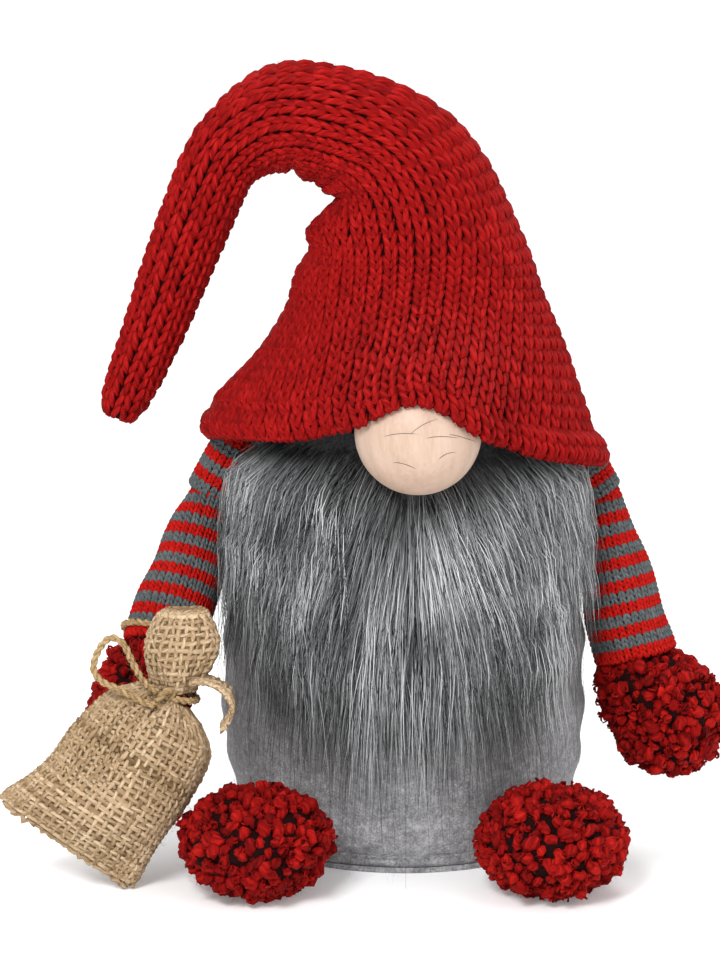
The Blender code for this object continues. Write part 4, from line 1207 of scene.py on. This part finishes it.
# %% Rough bottom seam and stray fibres
ends = np.linspace(-0.96, 0.96, 46)
edge = TIE_MM + sack_down * 67.0 + sack_across * (ends * 28.4)[:, None]
edge = edge + random.normal(0, 0.45, edge.shape)
seam = strands("sack_bottom_seam", (edge * MM)[None],
               np.concatenate([[0], random.uniform(0.9, 1.3, 44), [0]])[None] * MM, 8, [0.45])
finished("sack_bottom_seam", seam, JUTE_THREAD, "sack", "burlap")
place, normal = surface_points(bag[1], 1500)
hair = fibres("sack_hairs", place, normal, 3.4 * MM, 0.05 * MM, 0.75, 0.9, JUTE_THREAD)
finished("sack_hairs", hair, JUTE_THREAD, "sack", "burlap")

# %% [markdown]
# ## Twine
#
# The twine is two plies of jute laid round each other. Each ply is one strand that winds round the
# route, so the lay is real geometry. The bow is one free loop of it.

# %% Two-ply twine
TWINE_THICK = 2.6 * MM
LAY_LENGTH = 6.4 * MM


def along_route(points, step, closed=False):
    """Even points on a smooth curve through a route."""
    points = np.asarray(points, float)
    rows = np.concatenate([points[-1:], points, points[:2]]) if closed else points
    places = np.linspace(1, len(points) + 1, 600) if closed else np.linspace(0, len(points) - 1, 600)
    fine = read_rows(rows, places)
    run = np.concatenate([[0], np.cumsum(np.linalg.norm(np.diff(fine, axis=0), axis=1))])
    even = np.linspace(0, run[-1], int(run[-1] / step) + 1)
    return np.stack([np.interp(even, run, fine[:, i]) for i in range(3)], 1), run[-1]


def twine(name, points, body, closed=False, hairs=160):
    path, length = along_route(points, 0.7 * MM, closed)
    forward = np.gradient(path, axis=0)
    forward /= np.linalg.norm(forward, axis=1, keepdims=True)
    across = np.cross(forward, (0.31, 0.87, 0.38))
    across /= np.linalg.norm(across, axis=1, keepdims=True)
    other = np.cross(forward, across)
    turns = np.linspace(0, length, len(path)) / LAY_LENGTH * 2 * np.pi
    plies = []
    for start in (0, np.pi):
        angle = (turns + start)[:, None]
        plies.append(path + (across * np.cos(angle) + other * np.sin(angle)) * TWINE_THICK * 0.24)
    print(f"{name}: {length / MM:.1f} mm of twine")
    thick = np.full(len(path), TWINE_THICK * 0.29)
    thick[[0, -1]] = 0
    piece = strands(name, np.stack(plies), thick, 8, [0.45, 0.58])
    piece.data.materials.append(TWINE)
    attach(piece, body)
    place, normal = surface_points(piece, hairs)
    fuzz = fibres(name + "_hairs", place, normal, 2.6 * MM, 0.045 * MM, 0.6, 0.9, TWINE)
    finished(name + "_hairs", fuzz, TWINE, body, "jute_twine")
    return piece, length


def loop_points(node, count):
    """Places round a closed loop of cord, read from its node."""
    points = node_points(node)
    centre = (points.min(0) + points.max(0)) / 2
    _, _, axes = np.linalg.svd(points - points.mean(0), full_matrices=False)
    out = np.linalg.norm((points - points.mean(0)) @ axes[:2].T, axis=1)
    radius = (out.max() + out.min()) / 2
    turn = 2 * np.pi * np.arange(count) / count
    return points.mean(0) + radius * (np.cos(turn)[:, None] * axes[0] + np.sin(turn)[:, None] * axes[1])


tie, _ = twine("twine_neck_tie_plies", loop_points("twine_neck_tie", 16), "sack", True)
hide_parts("twine_neck_tie")
wrist, _ = twine("twine_wrist_loop_plies", loop_points("twine_wrist_loop", 16), "arm_left", True)
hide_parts("twine_wrist_loop")
hanger_low, hanger_high = (Vector(corner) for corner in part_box("twine_hanger"))
hanger_points = node_points("twine_hanger")
top_end = hanger_points[hanger_points[:, 2] > hanger_high.z - 0.002].mean(0)
low_end = hanger_points[hanger_points[:, 1] < hanger_low.y + 0.002].mean(0)
between = (top_end + low_end) / 2 - np.array([0, 0, 0.001])
hanger, _ = twine("twine_hanger_plies", [top_end, between, low_end], "arm_left")
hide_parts("twine_hanger")

# the bow's loop, in millimetres from the tie
BOW_ROUTE = np.array([
    (-4.0, -11.5, 2.0), (-9.0, -12.0, 6.0), (-13.0, -12.0, 13.0), (-16.5, -11.0, 20.0),
    (-21.0, -10.5, 22.0), (-25.0, -11.0, 18.0), (-27.0, -12.5, 11.5), (-24.0, -14.0, 7.0),
    (-17.0, -15.0, 4.0), (-10.0, -15.0, 0.0), (-5.0, -15.5, -1.5),
])
bow_route = (TIE_MM + BOW_ROUTE) * MM
bow, bow_length = twine("twine_bow_plies", bow_route, "sack", hairs=260)
bow_path, _ = along_route(bow_route, 1.4 * MM)
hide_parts("twine_bow")
[tuple(p) for p in bow_path]
knot_route = (TIE_MM + np.array([
    (-6.0, -10.5, -2.5), (-4.0, -13.5, 0.5), (-1.5, -13.0, 3.0), (0.5, -10.5, 2.5),
    (0.0, -9.5, -1.5), (-3.0, -11.5, -3.0), (-6.0, -12.5, -0.5),
])) * MM
twine("twine_bow_knot", knot_route, "sack", hairs=60)

# %% Stray beard hairs lying on the nose
strays = []
# where each starts on the ball, in radii across and up, the way it leans, and its length
STRAY_HAIRS = (
    (-0.55, 0.05, 0.5, 0.9), (-0.15, 0.1, 0.9, 1.0), (0.1, 0.05, 0.3, 0.8),
    (0.45, 0.1, -0.2, 0.7), (0.3, -0.3, 1.0, 0.6), (-0.4, -0.35, 0.2, 0.5),
)
for start_x, start_z, lean, reach in STRAY_HAIRS:
    share = np.linspace(0, 1, 9)
    x = start_x + reach * 0.6 * share * math.cos(lean) + 0.08 * share ** 2
    z = start_z + reach * 0.5 * share * math.sin(lean) - 0.15 * share ** 2
    y = -np.sqrt(np.maximum(1.006 - x ** 2 - z ** 2, 0.02))
    strays.append(np.array(NOSE) + NOSE_RADIUS * np.stack([x, y, z], 1))
stray = strands("nose_stray_hairs", np.stack(strays),
                np.array([0, .8, 1, 1, 1, 1, .9, .6, 0]) * 0.085 * MM, 4, np.full(len(strays), 0.03))
finished("nose_stray_hairs", stray, FUR.material, "root", "fur_grey")

# %% [markdown]
# ## Inner pieces
#
# The board, pellets, filling and wires never show, yet each still has its own finish, so that the
# model can be opened like the real thing.

# %% Inner finishes


def plain(name, low, high, roughness, scale, metallic=0.0):
    made = Finish(name, roughness)
    figure = made.noise(scale, 4.0, 0.6)
    made.colour(made.ramp(figure, [(0.35, low), (0.65, high)]))
    made.bump(figure, 0.4, 0.0006)
    made.shader.inputs["Metallic"].default_value = metallic
    return made.material


FILL = plain("fibrefill_white", (0.62, 0.62, 0.60), (0.86, 0.86, 0.84), 0.95, 260)
INNER = {
    felt.material: ["base_felt"],
    plain("grey_card", (0.30, 0.24, 0.16), (0.42, 0.34, 0.23), 0.85, 420): ["base_board"],
    plain("pellet_bag_cotton", (0.55, 0.52, 0.46), (0.78, 0.75, 0.69), 0.85, 700): ["pellet_bag"],
    FILL: ["body_stuffing", "hat_crown_filling", "sack_filling"]
    + [f"{part}_stuffing_{side}" for part in ("arm", "mitten", "foot") for side in ("left", "right")],
    plain("hot_glue", (0.62, 0.56, 0.42), (0.72, 0.67, 0.53), 0.25, 300): ["nose_glue"],
    plain("fur_backing_knit", (0.03, 0.03, 0.032), (0.10, 0.10, 0.105), 0.9, 900): ["beard_backing"],
    plain("steel_wire", (0.28, 0.28, 0.29), (0.42, 0.42, 0.43), 0.35, 1500, 0.9):
        ["hat_wire_lower", "hat_wire_middle", "hat_wire_tail"],
    plain("red_tab_knit", (0.20, 0.006, 0.008), (0.42, 0.014, 0.018), 0.9, 1100):
        ["shoulder_tab_left", "shoulder_tab_right"],
}
for material, names in INNER.items():
    for node in names:
        mesh = frame["nodes"][node].data
        mesh.materials.clear()
        mesh.materials.append(material)
print("inner pieces finished:", sum(len(names) for names in INNER.values()))
